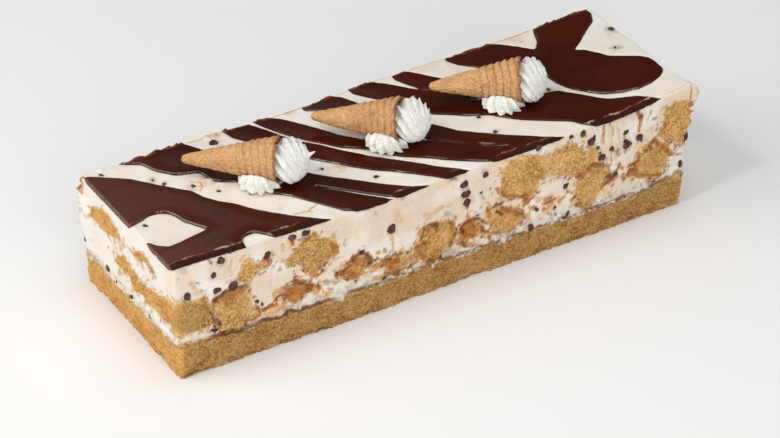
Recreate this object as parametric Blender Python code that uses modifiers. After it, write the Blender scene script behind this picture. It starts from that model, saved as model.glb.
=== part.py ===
"""Bar cake: sponge base, cream block with sponge chunks, chocolate stripes and three waffle cones."""

import math
import random

import bmesh
import bpy
from mathutils import Matrix, Vector, noise

# Driving dimensions, in millimetres
LENGTH = 280.0
WIDTH = 90.0
BASE_HEIGHT = 16.5
BASE_SLANT = 1.0
CREAM_TOP = 61.6
CHOCOLATE_RISE = 1.9
CHOCOLATE_SINK = 1.6
SOFT_EDGE = 0.8
GAP = 0.3
SLICE = 20.0

CORNER_ROUND = 2.0

CHUNK_DEPTH = 11.0
CHUNK_INSET = 1.5
CHUNK_DENT = 0.13
CHIP_SIZE = 3.6
CHIP_SINK = 1.1
TOP_CHIP_SHARE = 0.8

CONE_RADIUS = 11.1
CONE_WALL = 1.5
CONE_RECESS = 7.0
CONE_STEPS = 18
CONE_CLEARANCE = 0.6
CONE_TIP_RADIUS = 1.6
CONE_RIPPLE = 0.22
CONE_RIPPLE_PITCH = 5.2

ROSETTE_RADIUS = 10.9
ROSETTE_RIDGES = 11
ROSETTE_GROOVE = 0.16
ROSETTE_TWIST = 1.5
ROSETTE_ROOM = 1.04
STEM_CLEARANCE = 0.9
DOLLOP_RADIUS = 11.5
DOLLOP_HEIGHT = 8.5
DOLLOP_RIDGES = 8
DOLLOP_GROOVE = 0.14
DOLLOP_TWIST = 0.3
DOLLOP_CLEARANCE = 0.7

# How the hand-cut cake departs from a straight block: start along the cake, reach and size
TOP_DIP = (-30.0, 28.0, 1.3)
MIDDLE_RISE = (30.0, 60.0, 1.0)
END_RISE = (95.0, 45.0, 4.2)
END_BEND = (100.0, 40.0)
CRUMBLED_CORNER = 1.5
RIGHT_LEAN = 2.8
RIGHT_TUCK = 0.3
LEFT_LEAN = 1.0
LEFT_BACK_BULGE = 4.0
LEFT_FRONT_BULGE = 1.2
# Waves in the long sides: size, length along the cake and start
WAVES = [(0.4, 47.0, 0.0), (0.3, 19.0, 1.0)]
BASE_DENT = 0.5
BASE_DENT_REACH = 16.0

SEED = 7

MM = 0.001
HALF_LENGTH = LENGTH / 2
HALF_WIDTH = WIDTH / 2

# Colours and finish: red, green, blue, roughness
SPONGE = ("sponge", (0.60, 0.36, 0.13), 0.9)
CREAM = ("cream", (0.86, 0.79, 0.68), 0.55)
CHOCOLATE = ("chocolate", (0.055, 0.018, 0.010), 0.3)
WAFER = ("waffle", (0.68, 0.36, 0.14), 0.75)
WHIPPED = ("whipped_cream", (0.88, 0.89, 0.86), 0.5)

# Sponge chunks in a long side: place along the cake, height of the middle, width, height, turn
FRONT_CHUNKS = [
    (-114, 29, 19, 22, 8), (-101, 49, 19, 13, -6), (-81, 29.5, 20, 9, 4),
    (-70.5, 46.5, 27, 23, 0), (-48, 30.5, 19, 12, 10), (-26, 24.5, 11, 9, 0),
    (-3, 29, 25, 19, -12), (16, 29.5, 10, 10, 0), (36, 27, 23, 15, 0),
    (44, 46.5, 28, 22, 10), (73, 48.5, 28, 18, 8), (84, 29.5, 17, 26, -38),
    (121, 31.2, 26, 20, 24), (133.5, 47.6, 24, 20, 14),
]
BACK_CHUNKS = [
    (-126, 47, 24, 20, 6), (-119, 26, 20, 14, -8), (-92, 33, 24, 19, 12),
    (-66, 48.5, 25, 17, -5), (-57, 27, 20, 13, 7), (-30, 40, 26, 21, -10),
    (-4, 27, 19, 14, 0), (14, 48, 27, 19, 8), (38, 29, 25, 19, -14),
    (60, 48, 20, 15, 5), (81, 28, 22, 17, 10), (101, 46.5, 26, 21, -6), (126, 29, 23, 17, 9),
]
# Sponge chunks in an end: place across the cake, height of the middle, width, height, turn
LEFT_CHUNKS = [(21, 47.5, 32, 13, -4), (-15, 49.5, 24, 7, 3)]
RIGHT_CHUNKS = [(24, 31, 28, 19, 8), (5, 49, 27, 15, -6), (-14, 27, 20, 15, 5)]
# The long chunk that shows round the left front corner
CORNER_CHUNK = [((-139, -16, 33.5), (10, 31, 8.5)), ((-132, -44, 33), (11, 9, 9.5))]

# Chocolate chips in a side: place along the side, height, size as a share of CHIP_SIZE
FRONT_CHIPS = [
    (-134, 45, 1), (-119, 43.5, 0.9), (-117, 59, 1.1), (-111, 61, 1), (-93.5, 53.5, 1.1),
    (-121, 21.5, 1), (-80, 59.5, 1), (-72, 60.5, 0.9), (-28, 45, 1.2), (-32, 18.5, 0.9),
    (12.5, 55.5, 1.1), (12.5, 50, 1.1), (14.5, 44.5, 0.9), (25, 56.5, 0.9), (53, 62, 0.8),
    (72, 62, 0.9), (84, 60, 1.2), (92, 44, 1.1), (104, 54, 0.8), (105, 46.5, 1.1),
    (112, 49, 1), (54, 27.5, 0.9), (70, 36, 1), (70, 19, 1.1), (51, 19, 1),
    (98, 32, 0.9), (137, 24.5, 1), (-60, 24, 0.9), (-20, 55, 0.8), (0, 48, 0.8),
]
LEFT_CHIPS = [
    (-18, 18.8, 0.9), (11, 18.8, 1), (23, 20.5, 1), (40, 24, 1.1), (42, 58, 0.8),
    (-38, 50, 0.8), (0, 58, 0.8),
]
TOP_CHIPS = [
    (-131, 34), (-113, 25), (-135, -9), (-76, 38), (-44, -8), (43, -26), (87, -5),
    (134, 4), (-97, 24),
]
BACK_CHIP_COUNT = 16
RIGHT_CHIP_COUNT = 5

# Each stripe is one or more ribbons, minus its slits; a row holds y, left x and right x
STRIPES = [
    {"ribbons": [[
        (42, -140, -138), (36, -140, -132), (28, -140, -122), (17, -140, -112), (7, -140, -104),
        (-2, -140, -100), (-5, -124, -98), (-12, -119, -93), (-20, -117, -87), (-26, -113, -82),
        (-30, -130, -79), (-34, -140, -75), (-39, -140, -70), (-45, -140, -62)],
        [(-22.5, -140, -139), (-28, -140, -135), (-35, -140, -127)]],
     "slits": [[(-39, -97.5, -96.5), (-46.5, -103, -90)]]},
    {"ribbons": [[
        (45, -119, -90), (38, -113, -86), (31, -110, -81), (22, -104, -73), (18, -95, -70),
        (10, -91, -64), (3, -81, -58), (-6, -77, -52), (-14, -73, -46), (-20, -67, -40),
        (-28, -63, -32), (-35, -59, -25), (-42, -55, -16), (-45, -51, -11)]],
     "slits": [[(-18, -55.3, -54.9), (-30, -45, -43.9), (-40, -36.3, -34.9), (-46.5, -31, -28.9)]]},
    {"ribbons": [[
        (45, -67, -56.5), (37, -66, -50), (30, -61, -46), (22, -55, -42), (12, -48, -33),
        (3, -43, -27), (-7, -35, -19.5), (-16, -29, -12), (-25, -19, -4), (-33, -10, 2.5),
        (-40, -3, 9.5), (-45, 2, 15)]],
     "slits": []},
    {"ribbons": [
        [(45, -50.5, -43), (40, -49, -37.5), (32, -45, -31.5), (25, -41, -27), (18, -36, -23),
         (12, -30.5, -19.5), (5, -25.5, -14), (0, -19.5, -8), (-5, -14.5, 4), (-12, -10, 9.5),
         (-18, -5, 16.5), (-22, 0, 21), (-31, 10, 32), (-39, 20, 43), (-45, 29, 50)],
        [(45, -24, -8), (41, -24, -4), (37, -18, -2), (32, -10, 0.5), (22, -5, 6), (12, 0, 12),
         (2, 5, 18), (-6, 9, 23), (-14, 14, 28.5), (-22, 23.5, 37.5), (-30, 33.5, 47),
         (-36, 41, 55), (-40, 43, 60), (-45, 46, 68)]],
     "slits": []},
    {"ribbons": [
        [(45, 2.5, 14), (40, 3, 20), (30, 10, 28), (22, 14, 35), (12, 21, 42), (5, 26, 49),
         (0, 33, 60), (-5, 40, 72), (-10, 49, 88), (-17, 55, 94), (-22, 60, 98), (-29, 70, 103.5),
         (-36, 79, 115), (-41, 82.5, 119), (-45, 86, 122)],
        [(45, 27, 33.5), (40, 26.5, 38), (32, 30, 44), (26, 33.5, 49), (16, 38, 54), (6, 44, 58)]],
     "slits": []},
    {"ribbons": [
        [(45, 57, 82), (42, 57, 86), (36, 60, 92), (29, 67, 98), (24, 73, 103), (19, 78, 109),
         (13, 85, 118), (7, 91, 121), (2, 91, 123), (-3, 91.5, 128), (-8, 93, 134),
         (-12, 95, 137), (-17, 99, 137.5), (-23, 104, 137), (-26, 108, 135), (-29, 113, 131),
         (-31, 119, 126)],
        [(45, 109, 138), (40, 107, 138), (33, 104, 134), (28, 100, 128), (22, 98, 121), (16, 96, 113)]],
     "slits": []},
]

# Waffle cones: middle of the mouth in plan, way the tip points in plan and lift of the mouth in
# degrees, length of the cone, height of its cream, and place of the dollop beside it
CONES = [
    {"mouth": (-65.6, -7.6), "turn": 141.0, "tilt": 4.5, "length": 46.0, "rise": 14.5,
     "dollop": (-73.3, -6.0)},
    {"mouth": (1.2, -7.0), "turn": 133.5, "tilt": 7.5, "length": 45.0, "rise": 14.0,
     "dollop": (-5.6, -7.2)},
    {"mouth": (67.3, -8.3), "turn": 146.0, "tilt": 6.5, "length": 44.5, "rise": 12.5,
     "dollop": (59.0, -7.6)},
]


def smooth_step(value):
    value = min(1.0, max(0.0, value))
    return value * value * (3 - 2 * value)


def top_lift(x, y):
    """Height that the cream's top has gained or lost: a dip before the middle, a rise to the right."""
    dip_place, dip_reach, dip_depth = TOP_DIP
    dip = -dip_depth * math.exp(-((x - dip_place) / dip_reach) ** 2)
    rise = 0.0
    for start, reach, size in (MIDDLE_RISE, END_RISE):
        rise += size * smooth_step((x - start) / reach)
    return dip + rise * (0.7 - 0.6 * y / WIDTH)


def settle(point):
    """Move a point of a straight block to where the hand-cut cake has it, in metres."""
    x, y, z = point
    high = max(0.0, z - BASE_HEIGHT) / (CREAM_TOP - BASE_HEIGHT)
    start, reach = END_BEND
    right_end = smooth_step((x - start) / reach)
    left_end = smooth_step((-start - x) / reach)
    back = (y + HALF_WIDTH) / WIDTH
    front = 1 - back
    crumbled = CRUMBLED_CORNER * left_end * front ** 2 * min(z / BASE_HEIGHT, 1 - high)
    lifted = high * top_lift(x, y)
    lean = right_end * (RIGHT_LEAN * high - RIGHT_TUCK) - left_end * LEFT_LEAN * high
    bulge = LEFT_BACK_BULGE * back ** 2 * (1 - high ** 3) + LEFT_FRONT_BULGE * front * high
    wave = sum(size * math.sin(x / length + shift) for size, length, shift in WAVES)
    return Vector((x + lean, y + left_end * bulge + wave, z + lifted + crumbled)) * MM


def new_object(name, bm, collection, finish=None):
    mesh = bpy.data.meshes.new(name)
    bmesh.ops.recalc_face_normals(bm, faces=bm.faces)
    bm.to_mesh(mesh)
    bm.free()
    obj = bpy.data.objects.new(name, mesh)
    collection.objects.link(obj)
    if finish:
        mesh.materials.append(material(finish))
    return obj


def material(finish):
    name, colour, roughness = finish
    found = bpy.data.materials.get(name)
    if found:
        return found
    made = bpy.data.materials.new(name)
    made.use_nodes = True
    shader = made.node_tree.nodes["Principled BSDF"]
    shader.inputs["Base Color"].default_value = (*colour, 1)
    shader.inputs["Roughness"].default_value = roughness
    shader.inputs["Metallic"].default_value = 0
    return made


def apply_boolean(obj, operation, tool=None, tools=None):
    """Cut or join obj with one object or with a collection, and keep the result as its mesh."""
    step = obj.modifiers.new("cut", "BOOLEAN")
    step.operation = operation
    step.solver = "EXACT"
    if tools:
        step.operand_type = "COLLECTION"
        step.collection = tools
    else:
        step.object = tool
    graph = bpy.context.evaluated_depsgraph_get()
    mesh = bpy.data.meshes.new_from_object(obj.evaluated_get(graph))
    obj.modifiers.remove(step)
    old = obj.data
    obj.data = mesh
    mesh.name = obj.name
    bpy.data.meshes.remove(old)
    tidy(obj)


def tidy(obj):
    """Weld the slivers that a cut leaves, and split every face into triangles."""
    bm = bmesh.new()
    bm.from_mesh(obj.data)
    bmesh.ops.triangulate(bm, faces=bm.faces)
    bmesh.ops.dissolve_degenerate(bm, dist=0.000002, edges=bm.edges)
    bmesh.ops.triangulate(bm, faces=bm.faces)
    bm.to_mesh(obj.data)
    bm.free()


def merge_flat_faces(obj):
    """Join neighbouring triangles that lie in one plane, and split the result again."""
    bm = bmesh.new()
    bm.from_mesh(obj.data)
    bmesh.ops.dissolve_limit(bm, angle_limit=math.radians(0.3), verts=bm.verts, edges=bm.edges)
    bmesh.ops.triangulate(bm, faces=bm.faces)
    bm.to_mesh(obj.data)
    bm.free()


def drop_scraps(obj):
    """Keep the largest connected piece of a mesh."""
    bm = bmesh.new()
    bm.from_mesh(obj.data)
    waiting = set(bm.verts)
    pieces = []
    while waiting:
        piece = {waiting.pop()}
        edge_of_piece = list(piece)
        while edge_of_piece:
            vert = edge_of_piece.pop()
            fresh = {edge.other_vert(vert) for edge in vert.link_edges} - piece
            piece |= fresh
            edge_of_piece += fresh
        waiting -= piece
        pieces.append(piece)
    pieces.sort(key=len)
    for piece in pieces[:-1]:
        bmesh.ops.delete(bm, geom=list(piece), context="VERTS")
    bm.to_mesh(obj.data)
    bm.free()


def set_as_cutter(obj):
    obj.hide_render = True
    obj.display_type = "WIRE"


def remove_all(objects):
    for obj in list(objects):
        bpy.data.objects.remove(obj)


def sliced_box(low, high):
    """Box between two heights with its upright corners rounded, sliced so that it can bend."""
    bm = bmesh.new()
    bmesh.ops.create_cube(bm, size=1)
    bmesh.ops.scale(bm, vec=(LENGTH, WIDTH, high - low), verts=bm.verts)
    bmesh.ops.translate(bm, vec=(0, 0, (low + high) / 2), verts=bm.verts)
    upright = [e for e in bm.edges if abs(e.verts[0].co.z - e.verts[1].co.z) > 1]
    bmesh.ops.bevel(bm, geom=upright, offset=CORNER_ROUND, segments=2, affect="EDGES", profile=0.5)
    for normal, reach in ((Vector((1, 0, 0)), LENGTH), (Vector((0, 1, 0)), WIDTH)):
        count = round(reach / SLICE)
        for index in range(1, count):
            place = normal * reach * (index / count - 0.5)
            everything = bm.verts[:] + bm.edges[:] + bm.faces[:]
            bmesh.ops.bisect_plane(bm, geom=everything, plane_co=place, plane_no=normal)
    return bm


def make_base(parts):
    bm = sliced_box(0, BASE_HEIGHT)
    for vert in bm.verts:
        rough = BASE_DENT * noise.noise(vert.co / BASE_DENT_REACH)
        inward = BASE_SLANT * (1 - vert.co.z / BASE_HEIGHT) + rough
        vert.co.x *= 1 - inward / HALF_LENGTH
        vert.co.y *= 1 - inward / HALF_WIDTH
        vert.co = settle(vert.co)
    return new_object("sponge_base", bm, parts, SPONGE)


def make_block(collection, finish=None):
    """The cream block before anything is cut out of it."""
    bm = sliced_box(BASE_HEIGHT + GAP, CREAM_TOP)
    for vert in bm.verts:
        vert.co = settle(vert.co)
    return new_object("cream_body", bm, collection, finish)


def lump(name, middle, half, turn, grow, collection, finish=None):
    """One torn piece of sponge: a rounded box, a little dented, turned in the plane of its side."""
    bm = bmesh.new()
    bmesh.ops.create_icosphere(bm, subdivisions=2, radius=1)
    along_front = half[1] < half[0]
    axis = "Y" if along_front else "X"
    spin = Matrix.Rotation(math.radians(turn), 3, axis)
    middle = Vector(middle)
    size = Vector((half[0] + grow, half[1] + grow, half[2] + grow))
    for vert in bm.verts:
        n = vert.co.normalized()
        boxy = (abs(n.x) ** 3 + abs(n.y) ** 3 + abs(n.z) ** 3) ** (-1 / 3)
        dent = 1 + CHUNK_DENT * noise.noise(n * 1.7 + middle * 0.37)
        local = n * boxy * dent * size
        vert.co = settle(middle + spin @ local)
    return new_object(name, bm, collection, finish)


def chunk_places():
    """Middle, half sizes and turn of every chunk, one list of lumps for each chunk."""
    places = [[(middle, half, 0) for middle, half in CORNER_CHUNK]]
    for side, rows in ((-1, FRONT_CHUNKS), (1, BACK_CHUNKS)):
        for x, z, width, height, turn in rows:
            middle = (x, side * (HALF_WIDTH - CHUNK_INSET), z)
            depth = min(CHUNK_DEPTH, width / 2 - 0.2)
            places.append([(middle, (width / 2, depth, height / 2), turn)])
    for side, rows in ((-1, LEFT_CHUNKS), (1, RIGHT_CHUNKS)):
        for y, z, width, height, turn in rows:
            middle = (side * (HALF_LENGTH - CHUNK_INSET), y, z)
            depth = min(CHUNK_DEPTH, width / 2 - 0.2)
            places.append([(middle, (depth, width / 2, height / 2), turn)])
    return places


def near(first, second):
    """Whether two chunks may touch."""
    for a_middle, a_half, _ in first:
        for b_middle, b_half, _ in second:
            reach = [a_half[i] + b_half[i] + 2 for i in range(3)]
            if all(abs(a_middle[i] - b_middle[i]) < reach[i] for i in range(3)):
                return True
    return False


def make_chunks(parts, cutters):
    """Sponge chunks, flush with the sides; their grown copies are left in cutters."""
    places = chunk_places()
    scratch = bpy.data.collections.new("chunk_scratch")
    bpy.context.scene.collection.children.link(scratch)
    for index, lumps in enumerate(places):
        name = f"sponge_chunk_{index + 1:02d}"
        block = make_block(scratch)
        chunk = lump(name, *lumps[0], 0, parts, SPONGE)
        grown = lump(name + "_room", *lumps[0], GAP, cutters)
        for more in lumps[1:]:
            apply_boolean(chunk, "UNION", lump("more", *more, 0, scratch))
            apply_boolean(grown, "UNION", lump("more_room", *more, GAP, scratch))
        apply_boolean(chunk, "INTERSECT", block)
        for before in range(index):
            if near(places[before], lumps):
                room = bpy.data.objects[f"sponge_chunk_{before + 1:02d}_room"]
                apply_boolean(chunk, "DIFFERENCE", room)
        set_as_cutter(grown)
        remove_all(scratch.objects)
    bpy.data.collections.remove(scratch)


def run_past(last, before, grow):
    """Row that carries a ribbon on past its last row: over the side, or by grow on the top."""
    y, left, right = last
    step = y - before[0]
    if abs(y) > HALF_WIDTH - 1:
        share = (math.copysign(HALF_WIDTH + 2, y) - y) / step
    else:
        share = grow / abs(step)
    return (y + share * step, left + share * (left - before[1]), right + share * (right - before[2]))


def ribbon(name, rows, grow, low, high, collection, finish=None):
    """Flat band between its left and right edge; a band with a finish has soft upper edges."""
    bm = bmesh.new()
    sections = []
    if grow:
        rows = [run_past(rows[0], rows[1], grow)] + rows + [run_past(rows[-1], rows[-2], grow)]
    for y, left, right in rows:
        left -= 2 if grow and left <= -HALF_LENGTH else grow
        right += grow
        soft = min(SOFT_EDGE, (right - left) / 4)
        outline = [(left, low), (left, high), (right, high), (right, low)]
        if finish:
            outline[1:3] = [
                (left, high - soft), (left + soft, high), (right - soft, high), (right, high - soft)]
        sections.append([bm.verts.new(settle((x, y, z))) for x, z in outline])
    count = len(sections[0])
    for first, second in zip(sections, sections[1:]):
        for i in range(count):
            j = (i + 1) % count
            bm.faces.new((first[i], first[j], second[j], second[i]))
    bm.faces.new(sections[0])
    bm.faces.new(reversed(sections[-1]))
    bmesh.ops.triangulate(bm, faces=bm.faces)
    return new_object(name, bm, collection, finish)


def make_stripes(parts, cutters):
    """Chocolate stripes, set into the cream; their grown copies are left in cutters."""
    low = CREAM_TOP - CHOCOLATE_SINK
    high = CREAM_TOP + CHOCOLATE_RISE
    over = high + 3
    step = 0.02
    for index, stripe in enumerate(STRIPES):
        name = f"chocolate_stripe_{index + 1}"
        first, others = stripe["ribbons"][0], stripe["ribbons"][1:]
        band = ribbon(name, first, 0, low, high, parts, CHOCOLATE)
        room = ribbon(name + "_room", first, GAP, low - GAP, over, cutters)
        for rows in others:
            more = ribbon("more", rows, 0, low + step, high - step, parts, CHOCOLATE)
            apply_boolean(band, "UNION", more)
            more_room = ribbon("more_room", rows, GAP, low - GAP + step, over - step, parts)
            apply_boolean(room, "UNION", more_room)
            remove_all((more, more_room))
        for rows in stripe["slits"]:
            slit = ribbon("slit", rows, GAP, low - 5, over + 5, parts)
            apply_boolean(band, "DIFFERENCE", slit)
            tooth = ribbon("tooth", rows, 0, low - 5, over + 5, parts)
            apply_boolean(room, "DIFFERENCE", tooth)
            remove_all((slit, tooth))
        set_as_cutter(room)


def chip(place, size, draw, collection):
    """One chocolate chip: a small cut nugget half sunk in the cream."""
    bm = bmesh.new()
    bmesh.ops.create_cube(bm, size=size * 0.8)
    turn = draw.uniform(0, 6.28)
    upward = Vector((draw.random(), draw.random(), 1)).normalized()
    spin = Matrix.Rotation(turn, 3, upward)
    squash = Vector((draw.uniform(0.8, 1.2), draw.uniform(0.8, 1.2), draw.uniform(0.75, 1.1)))
    for vert in bm.verts:
        vert.co = settle(Vector(place) + (spin @ vert.co) * squash)
    return new_object("chip", bm, collection)


def chip_places(draw):
    """Where the chips lie, each with its size, all about half inside the block."""
    places = [((x, -HALF_WIDTH + CHIP_SINK, z), size) for x, z, size in FRONT_CHIPS]
    places += [((-HALF_LENGTH + CHIP_SINK, y, z), size) for y, z, size in LEFT_CHIPS]
    places += [((x, y, CREAM_TOP - CHIP_SINK), TOP_CHIP_SHARE) for x, y in TOP_CHIPS]
    for index in range(BACK_CHIP_COUNT):
        x = -HALF_LENGTH + 8 + (LENGTH - 16) * (index + draw.random()) / BACK_CHIP_COUNT
        places.append(((x, HALF_WIDTH - CHIP_SINK, draw.uniform(20, 58)), draw.uniform(0.8, 1.1)))
    for index in range(RIGHT_CHIP_COUNT):
        y = -HALF_WIDTH + 8 + (WIDTH - 16) * (index + draw.random()) / RIGHT_CHIP_COUNT
        places.append(((HALF_LENGTH - CHIP_SINK, y, draw.uniform(20, 60)), draw.uniform(0.8, 1.1)))
    return places


def make_cream(parts, cutters):
    cream = make_block(parts, CREAM)
    draw = random.Random(SEED)
    chips = bpy.data.collections.new("chips")
    bpy.context.scene.collection.children.link(chips)
    for place, size in chip_places(draw):
        chip(place, size * CHIP_SIZE, draw, chips)
    apply_boolean(cream, "UNION", tools=chips)
    remove_all(chips.objects)
    bpy.data.collections.remove(chips)
    apply_boolean(cream, "DIFFERENCE", tools=cutters)
    merge_flat_faces(cream)
    drop_scraps(cream)
    return cream


def cone_frame(cone):
    """Place of a cone's mouth, with local Z running out of it, as a matrix in metres."""
    x, y = cone["mouth"]
    turn, tilt = math.radians(cone["turn"]), math.radians(cone["tilt"])
    out = Vector((-math.cos(turn) * math.cos(tilt), -math.sin(turn) * math.cos(tilt), math.sin(tilt)))
    surface = CREAM_TOP + CHOCOLATE_RISE + top_lift(x, y)
    height = surface + CONE_CLEARANCE + CONE_RADIUS * math.cos(tilt)
    side = Vector((0, 0, 1)).cross(out).normalized()
    matrix = Matrix((side, out.cross(side), out)).transposed().to_4x4()
    matrix.translation = Vector((x, y, height)) * MM
    return matrix


def cone_radius(height, length):
    """Outer radius at a height above the tip."""
    share = height / length
    below_tip = 1 - min(1.0, height / CONE_TIP_RADIUS)
    blunt = CONE_TIP_RADIUS * math.sqrt(max(0.0, 1 - below_tip ** 2))
    ring = math.sin(height * 2 * math.pi / CONE_RIPPLE_PITCH)
    ripple = CONE_RIPPLE * ring * smooth_step((share - 0.45) / 0.3)
    return blunt + (CONE_RADIUS - CONE_TIP_RADIUS) * share ** 0.94 + ripple


def make_cone(name, top, frame, grow, collection, finish=None):
    """Rolled wafer cone with a shallow mouth, or its solid grown copy."""
    heights = [top - (top - 3) * i / 9 for i in range(10)] + [1.6, 0.6, 0.15]
    profile = [(cone_radius(h, top) + grow, h - top) for h in heights]
    profile.append((0, -top - grow))
    if grow:
        profile = [(0, grow), (CONE_RADIUS + grow, grow)] + profile[1:]
    else:
        inner = CONE_RADIUS - CONE_WALL
        profile = [(0, -CONE_RECESS), (inner * 0.84, -CONE_RECESS), (inner, 0)] + profile
    bm = bmesh.new()
    verts = [bm.verts.new((radius * MM, 0, z * MM)) for radius, z in profile]
    for first, second in zip(verts, verts[1:]):
        bm.edges.new((first, second))
    mesh = bpy.data.meshes.new(name)
    bm.to_mesh(mesh)
    bm.free()
    obj = bpy.data.objects.new(name, mesh)
    collection.objects.link(obj)
    obj.matrix_world = frame
    turned = obj.modifiers.new("turned", "SCREW")
    turned.steps = CONE_STEPS
    turned.render_steps = CONE_STEPS
    turned.use_merge_vertices = True
    turned.merge_threshold = 0.00001
    if finish:
        mesh.materials.append(material(finish))
    return obj


def piped(name, rings, ridges, depth, twist, frame, collection, finish):
    """Piped cream: star-shaped rings that shrink and twist upward, closed at both ends."""
    bm = bmesh.new()
    count = ridges * 2
    low, high = rings[0][1], rings[-1][1]
    loops = []
    for radius, height in rings[1:-1]:
        share = (height - low) / (high - low)
        loop = []
        for i in range(count):
            angle = 2 * math.pi * i / count + twist * share
            reach = radius * (1 if i % 2 == 0 else 1 - depth)
            local = Vector((reach * math.cos(angle), reach * math.sin(angle), height)) * MM
            loop.append(bm.verts.new(frame @ local))
        loops.append(loop)
    bottom = bm.verts.new(frame @ Vector((0, 0, low * MM)))
    top = bm.verts.new(frame @ Vector((0, 0, high * MM)))
    for i in range(count):
        j = (i + 1) % count
        bm.faces.new((bottom, loops[0][j], loops[0][i]))
        bm.faces.new((top, loops[-1][i], loops[-1][j]))
        for first, second in zip(loops, loops[1:]):
            bm.faces.new((first[i], first[j], second[j], second[i]))
    bmesh.ops.triangulate(bm, faces=bm.faces)
    return new_object(name, bm, collection, finish)


def rosette_rings(rise):
    """Radius and height of the rings: a stem in the mouth, then a dome that swells and closes."""
    stem = CONE_RADIUS - CONE_WALL - STEM_CLEARANCE
    foot = -CONE_RECESS + 0.4
    rings = [(0, foot), (stem * 0.8, foot), (stem, 0.5)]
    for share in (0.14, 0.3, 0.47, 0.64, 0.8, 0.92):
        swell = math.sqrt(max(0.0, 1 - ((share - 0.26) / 0.76) ** 2))
        rings.append((ROSETTE_RADIUS * swell, rise * share))
    rings.append((0, rise))
    return rings


def dollop_rings():
    rings = [(0, 0), (DOLLOP_RADIUS * 0.93, 0)]
    for share in (0.18, 0.5, 0.8):
        rings.append((DOLLOP_RADIUS * (1 - share ** 2.4 * 0.75), DOLLOP_HEIGHT * share))
    rings.append((0, DOLLOP_HEIGHT))
    return rings


def make_cones(parts, cutters):
    for index, cone in enumerate(CONES):
        number = index + 1
        frame = cone_frame(cone)
        make_cone(f"waffle_cone_{number}", cone["length"], frame, 0, parts, WAFER)
        room = make_cone(f"waffle_cone_{number}_room", cone["length"], frame, GAP, cutters)
        set_as_cutter(room)
        rings = rosette_rings(cone["rise"])
        piped(
            f"cream_rosette_{number}", rings, ROSETTE_RIDGES, ROSETTE_GROOVE, ROSETTE_TWIST,
            frame, parts, WHIPPED)
        wide = [(radius * ROSETTE_ROOM, height) for radius, height in rings]
        rosette_room = piped(
            f"cream_rosette_{number}_room", wide, ROSETTE_RIDGES, 0, 0, frame, cutters, None)
        set_as_cutter(rosette_room)
        x, y = cone["dollop"]
        surface = CREAM_TOP + CHOCOLATE_RISE + top_lift(x, y) + DOLLOP_CLEARANCE
        spot = Matrix.Translation(Vector((x, y, surface)) * MM)
        dollop = piped(
            f"cream_dollop_{number}", dollop_rings(), DOLLOP_RIDGES, DOLLOP_GROOVE, DOLLOP_TWIST,
            spot, parts, WHIPPED)
        apply_boolean(dollop, "DIFFERENCE", room)
        apply_boolean(dollop, "DIFFERENCE", rosette_room)


def centre_on_origin(objects):
    """Shift the cake so that its box is centred over the origin and stands at height zero."""
    graph = bpy.context.evaluated_depsgraph_get()
    corners = []
    for obj in objects:
        mesh = obj.evaluated_get(graph).to_mesh()
        corners += [obj.matrix_world @ vert.co for vert in mesh.vertices]
    low = [min(corner[i] for corner in corners) for i in range(3)]
    high = [max(corner[i] for corner in corners) for i in range(3)]
    shift = Vector((-(low[0] + high[0]) / 2, -(low[1] + high[1]) / 2, -low[2]))
    for obj in objects:
        obj.location += shift


def shade(obj):
    obj.data.shade_smooth()
    obj.data.set_sharp_from_angle(angle=math.radians(35))


def main():
    for obj in list(bpy.data.objects):
        bpy.data.objects.remove(obj)
    parts = bpy.data.collections.new("bar_cake")
    cutters = bpy.data.collections.new("cutters")
    for collection in (parts, cutters):
        bpy.context.scene.collection.children.link(collection)
    make_base(parts)
    make_chunks(parts, cutters)
    make_stripes(parts, cutters)
    make_cream(parts, cutters)
    make_cones(parts, cutters)
    for obj in parts.objects:
        if not obj.modifiers:
            shade(obj)
    bpy.context.view_layer.update()
    centre_on_origin(parts.objects)
    remove_all(cutters.objects)
    bpy.data.collections.remove(cutters)


main()
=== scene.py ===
import math
import random

import bmesh
import bpy
import numpy as np
from mathutils import Matrix, Vector, noise


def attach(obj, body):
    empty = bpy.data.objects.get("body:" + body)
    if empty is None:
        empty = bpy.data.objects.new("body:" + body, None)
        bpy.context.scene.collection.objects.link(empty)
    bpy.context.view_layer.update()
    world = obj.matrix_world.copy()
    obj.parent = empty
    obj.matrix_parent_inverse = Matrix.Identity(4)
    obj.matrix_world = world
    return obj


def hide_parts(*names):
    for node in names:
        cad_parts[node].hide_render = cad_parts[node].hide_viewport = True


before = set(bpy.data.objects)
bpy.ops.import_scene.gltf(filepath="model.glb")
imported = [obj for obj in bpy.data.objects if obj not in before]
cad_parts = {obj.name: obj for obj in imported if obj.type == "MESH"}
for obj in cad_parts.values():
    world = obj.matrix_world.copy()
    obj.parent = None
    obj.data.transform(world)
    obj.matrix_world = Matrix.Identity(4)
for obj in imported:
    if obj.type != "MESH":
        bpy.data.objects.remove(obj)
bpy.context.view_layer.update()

mm = 0.001

# the whole cake, in millimetres, as a straight block before it settles
cake = {
    "length": 280.0, "width": 90.0, "baseHeight": 16.5, "creamTop": 61.6, "gap": 0.3,
    "cornerRound": 2.0,      # upright corners
    "fan": 12.0,             # how deep the sides' inward lines stay apart at a corner
    "shift": (-0.3176, -1.1835),   # puts the settled block's box over the origin
}
halfLength, halfWidth = cake["length"] / 2, cake["width"] / 2
# places round the block, from the back left corner: where the front, the right end and the back begin, and the end
frontStart, rightStart = cake["width"], cake["width"] + cake["length"]
backStart, outline = 2 * cake["width"] + cake["length"], 2 * (cake["width"] + cake["length"])


# numbers that vary smoothly or roughly

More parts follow.
